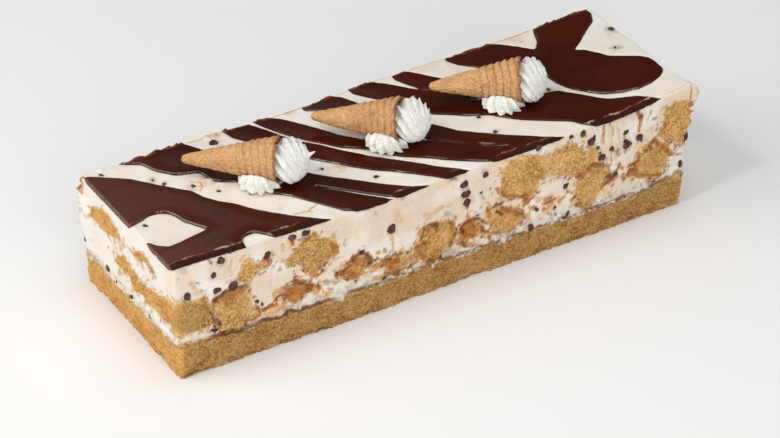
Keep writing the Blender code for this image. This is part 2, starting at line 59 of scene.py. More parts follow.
def latticeValue(cell, seed):
    mixed = (cell[:, 0] * 374761393 + cell[:, 1] * 668265263 + cell[:, 2] * 1442695041 + seed * 1274126177)
    mixed &= 0xFFFFFFFF
    mixed = ((mixed ^ (mixed >> 13)) * 1274126177) & 0xFFFFFFFF
    mixed = ((mixed ^ (mixed >> 15)) * 668265263) & 0xFFFFFFFF
    return ((mixed ^ (mixed >> 16)) & 0xFFFFFF) / 0xFFFFFF


def softNoise(points, size, seed=0):   # from -1 to 1
    spot = points / size
    cell = np.floor(spot).astype(np.int64)
    part = spot - cell
    part = part * part * (3 - 2 * part)
    total = np.zeros(len(points))
    for corner in range(8):
        step = np.array([corner & 1, corner >> 1 & 1, corner >> 2 & 1])
        weight = np.prod(np.where(step, part, 1 - part), axis=1)
        total += weight * latticeValue(cell + step, seed)
    return total * 2 - 1


def roughNoise(points, size, seed=0, octaves=3):
    total, amount = 0.0, 1.0
    for octave in range(octaves):
        total = total + amount * softNoise(points, size / 2 ** octave, seed + 17 * octave)
        amount *= 0.5
    return total


def poreNoise(points, size, seed=0):   # distance to the nearest of scattered spots, in sizes
    spot = points / size
    cell = np.floor(spot).astype(np.int64)
    nearest = np.full(len(points), 9.0)
    for dx in (-1, 0, 1):
        for dy in (-1, 0, 1):
            for dz in (-1, 0, 1):
                other = cell + np.array([dx, dy, dz])
                away = np.stack([latticeValue(other, seed + k) for k in (1, 2, 3)], 1) + other - spot
                nearest = np.minimum(nearest, (away ** 2).sum(1))
    return np.sqrt(nearest)


def ease(value):
    value = np.clip(value, 0.0, 1.0)
    return value * value * (3 - 2 * value)


# where the hand-cut cake departs from a straight block

def topLift(x, y):
    dip = -1.3 * np.exp(-((x + 30) / 28) ** 2)
    rise = ease((x - 30) / 60) + 4.2 * ease((x - 95) / 45)
    return dip + rise * (0.7 - 0.6 * y / cake["width"])


def settle(points):
    x, y, z = points.T
    low, top = cake["baseHeight"], cake["creamTop"]
    high = np.maximum(0, z - low) / (top - low)
    rightEnd = ease((x - 100) / 40)
    leftEnd = ease((-100 - x) / 40)
    back = (y + halfWidth) / cake["width"]
    crumbled = 1.5 * leftEnd * (1 - back) ** 2 * np.minimum(z / low, 1 - high)
    lean = rightEnd * (2.8 * high - 0.3) - leftEnd * high
    bulge = leftEnd * (4.0 * back ** 2 * (1 - high ** 3) + 1.2 * (1 - back) * high)
    wave = 0.4 * np.sin(x / 47) + 0.3 * np.sin(x / 19 + 1)
    return np.stack([x + lean, y + bulge + wave, z + high * topLift(x, y) + crumbled], 1)


def alongSides(s):   # s runs down the left end, along the front, up the right end and back
    s = np.mod(s, outline)
    sides = [s < frontStart, s < rightStart, s < backStart]
    still = 0 * s
    x = np.select(sides, [still - halfLength, s - frontStart - halfLength, still + halfLength],
                  halfLength + backStart - s)
    y = np.select(sides, [halfWidth - s, still - halfWidth, s - rightStart - halfWidth], still + halfWidth)
    return np.stack([x, y], 1)


def flatSpots(a, b):   # where a noise is read over the unrolled sides or the top
    return np.column_stack([a, b, 0 * a])


def sideSpots(s, z, inward):   # points on or behind the block's sides, before it settles
    half = np.array([halfLength, halfWidth])
    flat = alongSides(s)
    core = np.clip(flat, cake["cornerRound"] - half, half - cake["cornerRound"])
    out = flat - core
    rounded = core + out * (cake["cornerRound"] / np.linalg.norm(out, axis=1))[:, None]
    aim = np.clip(flat, cake["fan"] - half, half - cake["fan"]) - flat
    aim /= np.linalg.norm(aim, axis=1)[:, None]
    return np.column_stack([rounded + aim * inward[:, None], z])


# meshes

def placed(points):   # from millimetres on the straight block to metres in the frame
    return (points + np.array([*cake["shift"], 0.0])) * mm


def addObject(name, data):
    thing = bpy.data.objects.new(name, data)
    bpy.context.scene.collection.objects.link(thing)
    return thing


def setMark(mesh, name, values, kind="FLOAT"):
    layer = mesh.attributes.new(name, kind, "POINT")
    layer.data.foreach_set("value" if kind == "FLOAT" else "vector", np.asarray(values, np.float32).ravel())


def readPoints(mesh, what="co"):
    values = np.zeros(len(mesh.vertices) * 3)
    mesh.vertices.foreach_get(what, values)
    return values.reshape(-1, 3)


def makePiece(name, points, faces, material, marks=None, sharp=None):
    mesh = bpy.data.meshes.new(name)
    mesh.from_pydata(placed(points).tolist(), [], [list(map(int, face)) for face in faces])
    for mark, values in (marks or {}).items():
        setMark(mesh, mark, values)
    mesh.materials.append(material)
    weld(mesh)
    mesh.shade_smooth()
    if sharp:
        mesh.set_sharp_from_angle(angle=math.radians(sharp))
    return addObject(name, mesh)


def weld(mesh):   # joins points within two thousandths of a millimetre, and splits wide faces
    bm = bmesh.new()
    bm.from_mesh(mesh)
    bmesh.ops.remove_doubles(bm, verts=bm.verts, dist=0.000002)
    bmesh.ops.triangulate(bm, faces=[face for face in bm.faces if len(face.verts) > 4])
    bm.to_mesh(mesh)
    bm.free()


def finishPiece(piece, slot, *nodes):
    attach(piece, "root")
    if nodes:
        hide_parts(*nodes)
    return piece


def ringFaces(count, row):   # quads between one ring of points and the next
    here, nextOne = np.arange(count), (np.arange(count) + 1) % count
    low, high = row * count, (row + 1) * count
    return np.stack([low + here, low + nextOne, high + nextOne, high + here], 1).tolist()


def gridBlock(countX, countY, rows, gridTop):
    # rings of a block's side from the bottom up, and a grid or one flat face over the last ring
    sideX, sideY = cake["length"] / countX, cake["width"] / countY
    s = np.concatenate([np.arange(countY) * sideY, frontStart + np.arange(countX) * sideX,
                        rightStart + np.arange(countY) * sideY, backStart + np.arange(countX) * sideX])
    ring = len(s)
    faces = [face for row in range(rows) for face in ringFaces(ring, row)]
    faces.append(list(range(ring - 1, -1, -1)))
    last = rows * ring
    if not gridTop:
        faces.append(list(range(last, last + ring)))
        return s, faces, None
    ids = np.zeros((countX + 1, countY + 1), int)
    ids[0, ::-1] = last + np.arange(countY + 1)
    ids[:, 0] = last + countY + np.arange(countX + 1)
    ids[countX, :] = last + countY + countX + np.arange(countY + 1)
    ids[::-1, countY] = last + 2 * countY + countX + np.arange(countX + 1)
    ids[0, countY] = last
    inner = (countX - 1) * (countY - 1)
    ids[1:-1, 1:-1] = (last + ring + np.arange(inner)).reshape(countX - 1, countY - 1)
    faces += np.stack([ids[:-1, :-1], ids[1:, :-1], ids[1:, 1:], ids[:-1, 1:]], -1).reshape(-1, 4).tolist()
    x = np.repeat(np.linspace(-halfLength, halfLength, countX + 1)[1:-1], countY - 1)
    y = np.tile(np.linspace(-halfWidth, halfWidth, countY + 1)[1:-1], countX - 1)
    return s, faces, np.stack([x, y], 1)


def traceField(field, us, vs, extras):
    # the part of a grid where the field is above zero, cut along its zero line
    inside = field > 0
    node = np.full(field.shape, -1)
    node[inside] = np.arange(inside.sum())
    iu, iv = np.nonzero(inside)
    points = [np.stack([us[iu], vs[iv]], 1)]
    carried = [[extra[inside]] for extra in extras]
    total = len(iu)
    crossings = []
    for axis in (0, 1):
        first = (slice(0, -1), slice(None)) if axis == 0 else (slice(None), slice(0, -1))
        second = (slice(1, None), slice(None)) if axis == 0 else (slice(None), slice(1, None))
        cut = inside[first] != inside[second]
        a, b = field[first][cut], field[second][cut]
        share = np.clip(a / (a - b), 0.06, 0.94)
        cu, cv = np.nonzero(cut)
        if axis == 0:
            points.append(np.stack([us[cu] + share * (us[cu + 1] - us[cu]), vs[cv]], 1))
        else:
            points.append(np.stack([us[cu], vs[cv] + share * (vs[cv + 1] - vs[cv])], 1))
        for extra, kept in zip(extras, carried):
            kept.append(extra[first][cut] * (1 - share) + extra[second][cut] * share)
        ids = np.full(cut.shape, -1)
        ids[cut] = total + np.arange(len(cu))
        total += len(cu)
        crossings.append(ids)
    acrossU, acrossV = crossings
    corners = [inside[:-1, :-1], inside[1:, :-1], inside[1:, 1:], inside[:-1, 1:]]
    full = corners[0] & corners[1] & corners[2] & corners[3]
    some = (corners[0] | corners[1] | corners[2] | corners[3]) & ~full
    stack = np.stack([node[:-1, :-1], node[1:, :-1], node[1:, 1:], node[:-1, 1:]], -1)
    faces = stack[full].tolist()
    rims = []
    for i, j in np.argwhere(some):
        ring = ((i, j), (i + 1, j), (i + 1, j + 1), (i, j + 1))
        between = (acrossU[i, j], acrossV[i + 1, j], acrossU[i, j + 1], acrossV[i, j])
        face, onRim = [], []
        for k in range(4):
            here, there = ring[k], ring[(k + 1) % 4]
            if inside[here]:
                face.append(node[here])
                onRim.append(False)
            if inside[here] != inside[there]:
                face.append(between[k])
                onRim.append(True)
        faces.append(face)
        count = len(face)
        rims += [(face[k], face[(k + 1) % count]) for k in range(count) if onRim[k] and onRim[(k + 1) % count]]
    return np.concatenate(points), faces, rims, [np.concatenate(kept) for kept in carried]


def platePoints(faces, rims, front, back, rows, roughen=None):
    # closes two sheets with a wall of some rows along their rims
    count = len(front)
    points = [front, back]
    allFaces = list(faces) + [[count + v for v in reversed(face)] for face in faces]
    rimIds = np.unique(np.array(rims).ravel())
    layer = {0: {int(v): int(v) for v in rimIds}, rows: {int(v): int(v) + count for v in rimIds}}
    source = [np.arange(count), np.arange(count)]
    total = 2 * count
    for row in range(1, rows):
        share = row / rows
        middle = front[rimIds] * (1 - share) + back[rimIds] * share
        if roughen is not None:
            middle = roughen(middle, rimIds, share)
        points.append(middle)
        source.append(rimIds)
        layer[row] = {int(v): total + k for k, v in enumerate(rimIds)}
        total += len(rimIds)
    for a, b in rims:
        a, b = int(a), int(b)
        for row in range(rows):
            allFaces.append([layer[row][b], layer[row][a], layer[row + 1][a], layer[row + 1][b]])
    return np.concatenate(points), allFaces, np.concatenate(source)


# node trees

class Wire:   # one socket of a node tree, whose sums and products make Math nodes
    def __init__(self, tree, socket):
        self.tree, self.socket = tree, socket

    def maths(self, operation, *others, flip=False):
        terms = [self, *others]
        if flip:
            terms.reverse()
        return put(self.tree, "ShaderNodeMath", {"operation": operation}, dict(enumerate(terms)))

    def __add__(self, other): return self.maths("ADD", other)
    __radd__ = __add__
    def __sub__(self, other): return self.maths("SUBTRACT", other)
    def __rsub__(self, other): return self.maths("SUBTRACT", other, flip=True)
    def __mul__(self, other): return self.maths("MULTIPLY", other)
    __rmul__ = __mul__
    def __truediv__(self, other): return self.maths("DIVIDE", other)
    def __pow__(self, other): return self.maths("POWER", other)

    def ramp(self, low, high, to=(0.0, 1.0)):
        return put(self.tree, "ShaderNodeMapRange", {"interpolation_type": "SMOOTHSTEP", "clamp": True},
                   {0: self, 1: low, 2: high, 3: to[0], 4: to[1]})


def put(tree, kind, settings=None, inputs=None, output=0):
    node = tree.nodes.new(kind)
    for name, value in (settings or {}).items():
        setattr(node, name, value)
    for name, value in (inputs or {}).items():
        if isinstance(value, Wire):
            tree.links.new(value.socket, node.inputs[name])
        elif isinstance(value, tuple) and node.inputs[name].type == "RGBA":
            node.inputs[name].default_value = (*value[:3], 1)
        else:
            node.inputs[name].default_value = value
    return Wire(tree, node.outputs[output])


def colour(red, green, blue):   # screen values from 0 to 255
    return tuple(v / 12.92 if v <= 0.04045 else ((v + 0.055) / 1.055) ** 2.4
                 for v in (red / 255, green / 255, blue / 255))


class Finish:   # a material under way: its nodes, its shader and where its patterns are read
    def __init__(self, name, **constants):
        self.material = bpy.data.materials.new(name)
        self.material.use_nodes = True
        self.tree = self.material.node_tree
        self.shader = self.tree.nodes["Principled BSDF"]
        for socket, value in constants.items():
            self.shader.inputs[socket.replace("_", " ")].default_value = value
        self.where = put(self.tree, "ShaderNodeTexCoord", output=3)

    def grain(self, scale, detail=2.0, roughness=0.5, distortion=0.0, where=None):
        return put(self.tree, "ShaderNodeTexNoise", None, {"Vector": where or self.where, "Scale": scale,
                   "Detail": detail, "Roughness": roughness, "Distortion": distortion})

    def mark(self, name):
        return put(self.tree, "ShaderNodeAttribute", {"attribute_name": name}, output=2)

    def mix(self, factor, first, second):
        return put(self.tree, "ShaderNodeMix", {"data_type": "RGBA", "blend_type": "MIX", "clamp_factor": True},
                   {0: factor, 6: first, 7: second}, output=2)

    def lay(self, tone, look, *layers):   # colours of a look over a tone, one after another
        for name, factor in layers:
            tone = self.mix(factor, tone, look[name])
        return tone

    def bump(self, height, strength, distance, below=None):
        inputs = {"Height": height, "Strength": strength, "Distance": distance}
        if below:
            inputs["Normal"] = below
        return put(self.tree, "ShaderNodeBump", None, inputs)

    def close(self, tone, rough, normal, **others):
        wires = {"Base Color": tone, "Roughness": rough, "Normal": normal, **others}
        for socket, wire in wires.items():
            self.tree.links.new(wire.socket, self.shader.inputs[socket.replace("_", " ")])
        return self.material


# finishes

stain = {"caramel": colour(194, 122, 54), "tan": colour(236, 206, 158)}


def spongeTone(made):   # the crumb's colour, and the two noises that its bumps follow
    look = {"light": colour(246, 209, 146), "body": colour(217, 165, 93), "dark": colour(172, 112, 44),
            "poreShade": colour(140, 86, 34), "cocoa": colour(98, 44, 14), "caramel": colour(176, 102, 38)}
    crumb = made.grain(480.0, 4.0, 0.75)
    grit = made.grain(1150.0, 3.0, 0.7)
    patches = made.grain(115.0, 3.0, 0.6)
    squiggle = made.grain(300.0, 3.0, 0.6, 0.8)
    # painted shade: the darkest tone stands for shade in the crumb's pores and creases
    creaseShade = (squiggle - 0.5).maths("ABSOLUTE").ramp(0.035, 0.0) * patches.ramp(0.5, 0.4)
    tone = made.mix(patches.ramp(0.38, 0.62), look["dark"], look["light"])
    tone = made.lay(tone, look, ("body", 0.62), ("light", crumb.ramp(0.5, 0.62) * 0.7),
                    ("dark", crumb.ramp(0.47, 0.38) * 0.55), ("poreShade", creaseShade * 0.75),
                    ("light", grit.ramp(0.52, 0.6) * 0.75), ("poreShade", grit.ramp(0.46, 0.38) * 0.55))
    # painted shade: where this mark is set, the crumb is darkened as if it lay in shade
    shaded = put(made.tree, "ShaderNodeVectorMath", {"operation": "MULTIPLY"}, {0: tone, 1: (0.7, 0.68, 0.61)})
    tone = made.mix(made.mark("paintedShade"), tone, shaded)
    tone = made.lay(tone, look, ("caramel", made.mark("caramel") * crumb.ramp(0.3, 0.62, (0.5, 0.95))),
                    ("cocoa", made.mark("cocoa") * crumb.ramp(0.3, 0.62, (0.5, 1.0))))
    return tone, crumb, grit


def creamTone(made):   # plain cream, warmer in broad patches
    look = {"light": colour(241, 237, 230), "warm": colour(237, 228, 216), "beige": colour(228, 202, 174)}
    fine = made.grain(420.0, 3.0)
    tone = made.mix(made.grain(55.0).ramp(0.38, 0.66), look["light"], look["warm"])
    return made.mix(made.mark("beige") * fine.ramp(0.2, 0.75, (0.6, 1.0)), tone, look["beige"]), fine


def spongeFinish():
    look = {"endCrust": colour(226, 166, 84), "cocoa": colour(116, 54, 18), **stain}
    made = Finish("sponge", Roughness=0.9, Specular_IOR_Level=0.2)
    tone, crumb, grit = spongeTone(made)
    place = put(made.tree, "ShaderNodeSeparateXYZ", None, {0: made.where})
    tone = made.mix(place.ramp(-0.136, -0.1395) * 0.35, tone, look["endCrust"])   # browner at the left end
    film, caramel = made.mark("film"), made.mark("caramel")
    tone = made.mix(film, tone, creamTone(made)[0])
    tone = made.lay(tone, look, ("tan", caramel.ramp(0.0, 0.5) * film * 0.8),
                    ("caramel", caramel.ramp(0.3, 0.85) * film * crumb.ramp(0.36, 0.52, (0.25, 1.0))),
                    ("cocoa", made.mark("cocoa") * film * crumb.ramp(0.3, 0.62, (0.4, 1.0))))
    rough = made.bump(crumb * (1.0 - film * 0.9), 0.8, 0.0012)
    return made.close(tone, crumb.ramp(0.3, 0.7, (0.8, 0.95)), made.bump(grit * (1.0 - film * 0.8), 0.7, 0.0006, rough))


def creamFinish():
    look = {"beige": colour(214, 180, 146), "cocoa": colour(122, 58, 20), "deep": colour(134, 130, 134),
            "curd": colour(251, 243, 225), **stain}
    made = Finish("cream", Subsurface_Weight=0.12, Subsurface_Scale=0.0025, Subsurface_Radius=(1.0, 0.8, 0.6))
    upright = put(made.tree, "ShaderNodeMapping", None, {"Vector": made.where, "Scale": (1.0, 1.0, 0.12)})
    streaks = made.grain(700.0, 3.0, where=upright)
    clumps = made.grain(330.0, 4.0, 0.65)
    tone, fine = creamTone(made)
    curd, caramel, knife, bread = (made.mark(name) for name in ("curd", "caramel", "knife", "crumb"))
    tone = made.lay(tone, look, ("curd", curd * 0.75), ("beige", curd * clumps.ramp(0.5, 0.4) * 0.6),
                    ("caramel", curd * made.grain(230.0, 4.0, 0.7).ramp(0.55, 0.68) * 0.6),
                    ("beige", knife * streaks.ramp(0.46, 0.62) * 0.6),
                    ("deep", made.mark("deep") * clumps.ramp(0.25, 0.5, (0.5, 1.0))),
                    ("tan", caramel.ramp(0.0, 0.5) * 0.8),
                    ("caramel", caramel.ramp(0.3, 0.85) * clumps.ramp(0.36, 0.52, (0.25, 1.0))),
                    ("cocoa", made.mark("cocoa") * clumps.ramp(0.32, 0.5, (0.35, 1.0))))
    breadTone, crumb, grit = spongeTone(made)
    smooth = made.bump(made.grain(260.0, 3.0), 0.12, 0.0008)
    lumpy = made.bump(made.grain(520.0, 4.0, 0.75) * curd, 0.75, 0.003, smooth)
    lumpy = made.bump((crumb + grit * 0.4) * bread, 0.8, 0.0011, lumpy)
    return made.close(made.mix(bread, tone, breadTone), fine.ramp(0.3, 0.7, (0.42, 0.62)) + bread * 0.3,
                      made.bump(streaks * knife, 0.45, 0.0006, lumpy))


def chocolateFinish():
    look = {"body": colour(68, 21, 7), "dark": colour(55, 15, 4), "cut": colour(124, 92, 90),
            "torn": colour(54, 26, 22), "edge": colour(160, 90, 66), "flake": colour(228, 192, 160),
            "crust": colour(134, 74, 46), "paintedSheen": colour(96, 58, 46)}
    made = Finish("chocolate", Coat_Roughness=0.1, Coat_IOR=2.1, Specular_IOR_Level=0.06)
    fine = made.grain(700.0, 3.0)
    cut, torn, crust = made.mark("cut"), made.mark("torn"), made.mark("crust")
    tone = made.mix(made.grain(40.0).ramp(0.35, 0.7), look["body"], look["dark"])
    # painted sheen: the chocolate turns paler towards the left end, a painted reflection
    tone = made.lay(tone, look, ("paintedSheen", made.mark("paintedSheen") * 0.6), ("torn", torn * 0.9),
                    ("cut", cut * fine.ramp(0.25, 0.7, (0.7, 1.0))), ("crust", crust * fine.ramp(0.3, 0.6, (0.4, 1.0))))
    edge = made.mix(made.grain(160.0).ramp(0.5, 0.62), look["edge"], look["flake"])
    tone = made.mix(made.mark("brink") * fine.ramp(0.32, 0.52), tone, edge)
    rough = fine.ramp(0.3, 0.7, (0.26, 0.32)) + (cut + torn + crust) * 0.4
    waves = made.bump(made.grain(120.0), 0.08, 0.001)
    return made.close(tone, rough.maths("MINIMUM", 0.85),
                      made.bump(fine * (cut * 0.5 + torn + crust + 0.04), 0.45, 0.0006, waves),
                      Coat_Weight=made.mark("gloss") * 0.95 + 0.01)


def chipFinish():
    made = Finish("chips", Specular_IOR_Level=0.4)
    fine = made.grain(500.0, 3.0)
    return made.close(made.mix(fine.ramp(0.45, 0.75), colour(62, 28, 22), colour(120, 72, 58)),
                      fine.ramp(0.3, 0.7, (0.4, 0.6)), made.bump(fine, 0.3, 0.0006))


def waferFinish():
    look = {"body": colour(223, 165, 106), "light": colour(249, 213, 168), "dark": colour(158, 90, 42),
            "rim": colour(158, 92, 46)}
    made = Finish("wafer", Specular_IOR_Level=0.5)
    fine = made.grain(980.0, 5.0, 0.75)
    blotch = made.grain(160.0, 3.0)
    tone = made.lay(look["body"], look, ("light", fine.ramp(0.45, 0.68) * 0.8), ("dark", fine.ramp(0.44, 0.35) * 0.75),
                    ("light", blotch.ramp(0.55, 0.7) * 0.35), ("dark", blotch.ramp(0.44, 0.32) * 0.25),
                    # painted shade in the troughs between the wafer's turns and along the flap's edge
                    ("dark", made.mark("grooveShade") * 0.45),
                    # darker towards the rim, and painted shade down inside the mouth
                    ("rim", made.mark("rim") * fine.ramp(0.3, 0.6, (0.5, 1.0))))
    return made.close(tone, fine.ramp(0.3, 0.7, (0.4, 0.62)), made.bump(fine, 0.85, 0.0011))


def whippedFinish():
    made = Finish("whippedCream", Subsurface_Weight=0.22, Subsurface_Scale=0.002, Subsurface_Radius=(1.0, 0.95, 0.85))
    fine = made.grain(500.0, 3.0)
    # painted shade: the piping's grooves are darkened where this mark is set
    foldShade = made.mark("foldShade") * fine.ramp(0.2, 0.7, (0.6, 1.0))
    return made.close(made.mix(foldShade, colour(247, 247, 244), colour(226, 226, 216)),
                      fine.ramp(0.3, 0.7, (0.4, 0.55)), made.bump(fine, 0.15, 0.0005))


sponge, cream, chocolate = spongeFinish(), creamFinish(), chocolateFinish()
chipMaterial, wafer, whipped = chipFinish(), waferFinish(), whippedFinish()
print("finishes are ready")


# chocolate stripes: a field over the top, above zero where there is chocolate

stripeShape = {"rise": 1.9, "sink": 1.6, "rim": 0.12, "lip": 1.0, "lipShare": 0.7, "bed": 2.4, "step": 0.5,
               "soften": 0.8, "spread": 0.35, "backStop": 44.6, "slope": 3.0, "break": 1.25, "crust": 1.2}
# each stripe is one or more ribbons, minus its slits; a row holds y, left x and right x
stripes = [
    {"ribbons": [[
        (42.5, -140, -138.5), (37, -140, -131.5), (30, -140, -122.7), (20, -140, -115.4), (11, -140, -107.7),
        (7, -140, -103.9), (0.6, -140, -101.8), (-0.5, -124, -101.4), (-4, -120, -99.3), (-8, -118.5, -96.6),
        (-13, -117.7, -91.5), (-18, -115, -88.5), (-22, -112.5, -86), (-25, -111.5, -83.2), (-25.6, -119.7, -82.7),
        (-28, -125, -80.8), (-28.6, -133, -80), (-31, -140, -77.5), (-35.1, -140, -73.5), (-39.1, -140, -68.7),
        (-42, -140, -65.5), (-45, -140, -61)], [
        (1, -140, -128.5), (-2.5, -140, -133.5), (-4, -140, -139.2)], [
        (-20.6, -140, -139.5), (-25, -140, -137), (-29.5, -140, -131.5)]],
     "slits": [[
        (-37.3, -99, -96), (-38, -101.5, -94.5), (-41, -103.2, -92), (-46.5, -104, -88.5)]]},
    {"ribbons": [[
        (45, -121.5, -89), (42, -117.7, -87.5), (39, -113, -86), (31, -109.8, -81), (24, -104.5, -75),
        (21.4, -101.7, -73), (20.6, -95.5, -71.5), (18, -92.8, -70), (11, -91.3, -65), (8, -89, -63), (3, -81, -58),
        (-6, -77, -50.5), (-14, -72.5, -43), (-20, -66, -36.5), (-28, -60.8, -28.5), (-35, -55.8, -21.8),
        (-42, -50.8, -14), (-45, -46.5, -8)]],
     "slits": [[
        (-18, -52.6, -52.2), (-30, -41.2, -40), (-40, -31.6, -30.1), (-46.5, -25.4, -23.2)]]},
    {"ribbons": [[
        (45, -67.5, -54.5), (37, -66, -50), (30, -61, -46), (22, -55, -42), (12, -48, -33), (3, -42, -27),
        (-7, -33, -19.5), (-16, -25.6, -12), (-25, -16, -4), (-33, -7.8, 2.5), (-40, -1.4, 9.5), (-45, 2.6, 15)]]},
    {"ribbons": [[
        (45, -50.5, -43), (40, -49, -37.5), (32, -45, -31.5), (25, -41, -27), (18, -36, -23), (12, -30.5, -19.5),
        (5, -25.5, -14), (0, -19.5, -8), (-5, -14.5, 4), (-12, -10, 9.5), (-18, -5, 16.5), (-22, 0, 21),
        (-31, 10, 32), (-39, 20, 43), (-45, 29, 50)], [
        (45, -24, -8), (41, -24, -4), (37, -18, -2), (32, -10, 0.5), (22, -5, 6), (12, 0, 12), (2, 5, 18),
        (-6, 9, 23), (-14, 14, 28.5), (-22, 23.5, 37.5), (-30, 33.5, 47), (-36, 41, 55), (-40, 43, 60),
        (-45, 46, 68)]]},
    {"ribbons": [[
        (45, 2.5, 14), (40, 3, 20), (30, 10, 28), (22, 14, 35), (12, 21, 42), (5, 26, 49), (0, 33, 60),
        (-5, 40, 72), (-10, 49, 88), (-17, 55, 94), (-22, 60, 98), (-29, 70, 103.5), (-36, 79, 115),
        (-41, 82.5, 119), (-45, 86, 122)], [
        (45, 27, 33.5), (40, 26.5, 38), (32, 30, 44), (26, 33.5, 49), (16, 38, 54), (6, 44, 58)]]},
    {"ribbons": [[
        (45, 57, 82), (42, 57, 86), (36, 60, 92), (29, 67, 98), (24, 73, 103), (19, 78, 109), (13, 85, 118),
        (7, 91, 121), (2, 91, 123), (-3, 91.5, 128), (-8, 93, 134), (-12, 95, 137), (-17, 99, 137.5),
        (-23, 104, 137), (-26, 108, 135), (-29, 113, 131), (-31, 119, 126)], [
        (45, 109, 138), (40, 107, 138), (33, 104, 134), (28, 100, 128), (22, 98, 121), (16, 96, 113)]]},
]
gridX = np.arange(-146, 146.01, stripeShape["step"])
gridY = np.arange(-50, 50.01, stripeShape["step"])
meshX, meshY = np.meshgrid(gridX, gridY, indexing="ij")
flatGrid = np.column_stack([meshX.ravel(), meshY.ravel(), np.zeros(meshX.size)])


def ribbonField(rows):
    rows = [list(row) for row in rows]
    for last, before, end in ((0, 1, 0), (-1, -2, len(rows))):   # carried on over the block's sides
        y, left, right = rows[last]
        if abs(y) > halfWidth - 1:
            share = (math.copysign(60, y) - y) / (y - rows[before][0])
            rows.insert(end if end == 0 else len(rows),
                        [y + share * (y - rows[before][0]), left + share * (left - rows[before][1]),
                         right + share * (right - rows[before][2])])
    rows = np.array(rows)[::-1]
    y = gridY
    left, right = np.interp(y, rows[:, 0], rows[:, 1]), np.interp(y, rows[:, 0], rows[:, 2])
    left = np.where(left < -halfLength + 0.5, -halfLength - 20, left)
    slopeLeft, slopeRight = np.gradient(left, y), np.gradient(right, y)
    slopeLeft = np.where(np.abs(slopeLeft) > 6, 0, slopeLeft)
    fromLeft = (meshX - left) / np.sqrt(1 + slopeLeft ** 2)
    fromRight = (right - meshX) / np.sqrt(1 + slopeRight ** 2)
    field = np.minimum(fromLeft, fromRight)
    return np.minimum(field, np.minimum(rows[-1, 0] - meshY, meshY - rows[0, 0]))


def soften(field, reach):
    span = int(3 * reach / stripeShape["step"])
    weights = np.exp(-0.5 * (np.arange(-span, span + 1) * stripeShape["step"] / reach) ** 2)
    weights /= weights.sum()
    for axis in (0, 1):
        padded = np.pad(field, [(span, span) if k == axis else (0, 0) for k in (0, 1)], mode="edge")
        field = sum(w * np.take(padded, np.arange(k, k + field.shape[axis]), axis=axis)
                    for k, w in enumerate(weights))
    return field


def stripeField(stripe, seed):
    field = np.max([ribbonField(rows) for rows in stripe["ribbons"]], axis=0)
    backStop = stripeShape["backStop"] + 0.8 * softNoise(flatGrid * [1, 0, 0], 9.0, seed).reshape(meshX.shape)
    field = soften(np.clip(field, -8, 8), stripeShape["soften"])
    field += stripeShape["spread"] + 0.22 * softNoise(flatGrid, 5.0, seed + 3).reshape(meshX.shape)
    field = np.minimum(field, backStop - meshY)
    for rows in stripe.get("slits", []):
        field = np.minimum(field, -ribbonField(rows) - 0.05)
    return field


stripeFields = [stripeField(stripe, 40 + index) for index, stripe in enumerate(stripes)]
anyStripe = np.max(stripeFields, axis=0)


def atTop(field, x, y):   # a field's value at any spot of the top
    u = np.clip((x - gridX[0]) / stripeShape["step"], 0, len(gridX) - 1.001)
    v = np.clip((y - gridY[0]) / stripeShape["step"], 0, len(gridY) - 1.001)
    i, j = u.astype(int), v.astype(int)
    u, v = u - i, v - j
    return (field[i, j] * (1 - u) * (1 - v) + field[i + 1, j] * u * (1 - v)
            + field[i, j + 1] * (1 - u) * v + field[i + 1, j + 1] * u * v)


def creamLevel(x, y):   # the cream stands nearly as high as the chocolate, but for the left end
    return 0.25 + 0.85 * ease((x + 118) / 55) + 0.35 * ease((y - 12) / 25)


def bedHeight(distance, x, y):   # the chocolate's underside, in the dish that it has pressed in the cream
    rim = creamLevel(x, y) - stripeShape["rim"]
    sink = (stripeShape["sink"] + 0.6 * ease((-137 - x) / 3)) * ease((y + 45.5) / 5)
    return cake["creamTop"] + rim - (rim + sink - 0.4) * ease(distance / stripeShape["bed"]) - 0.02


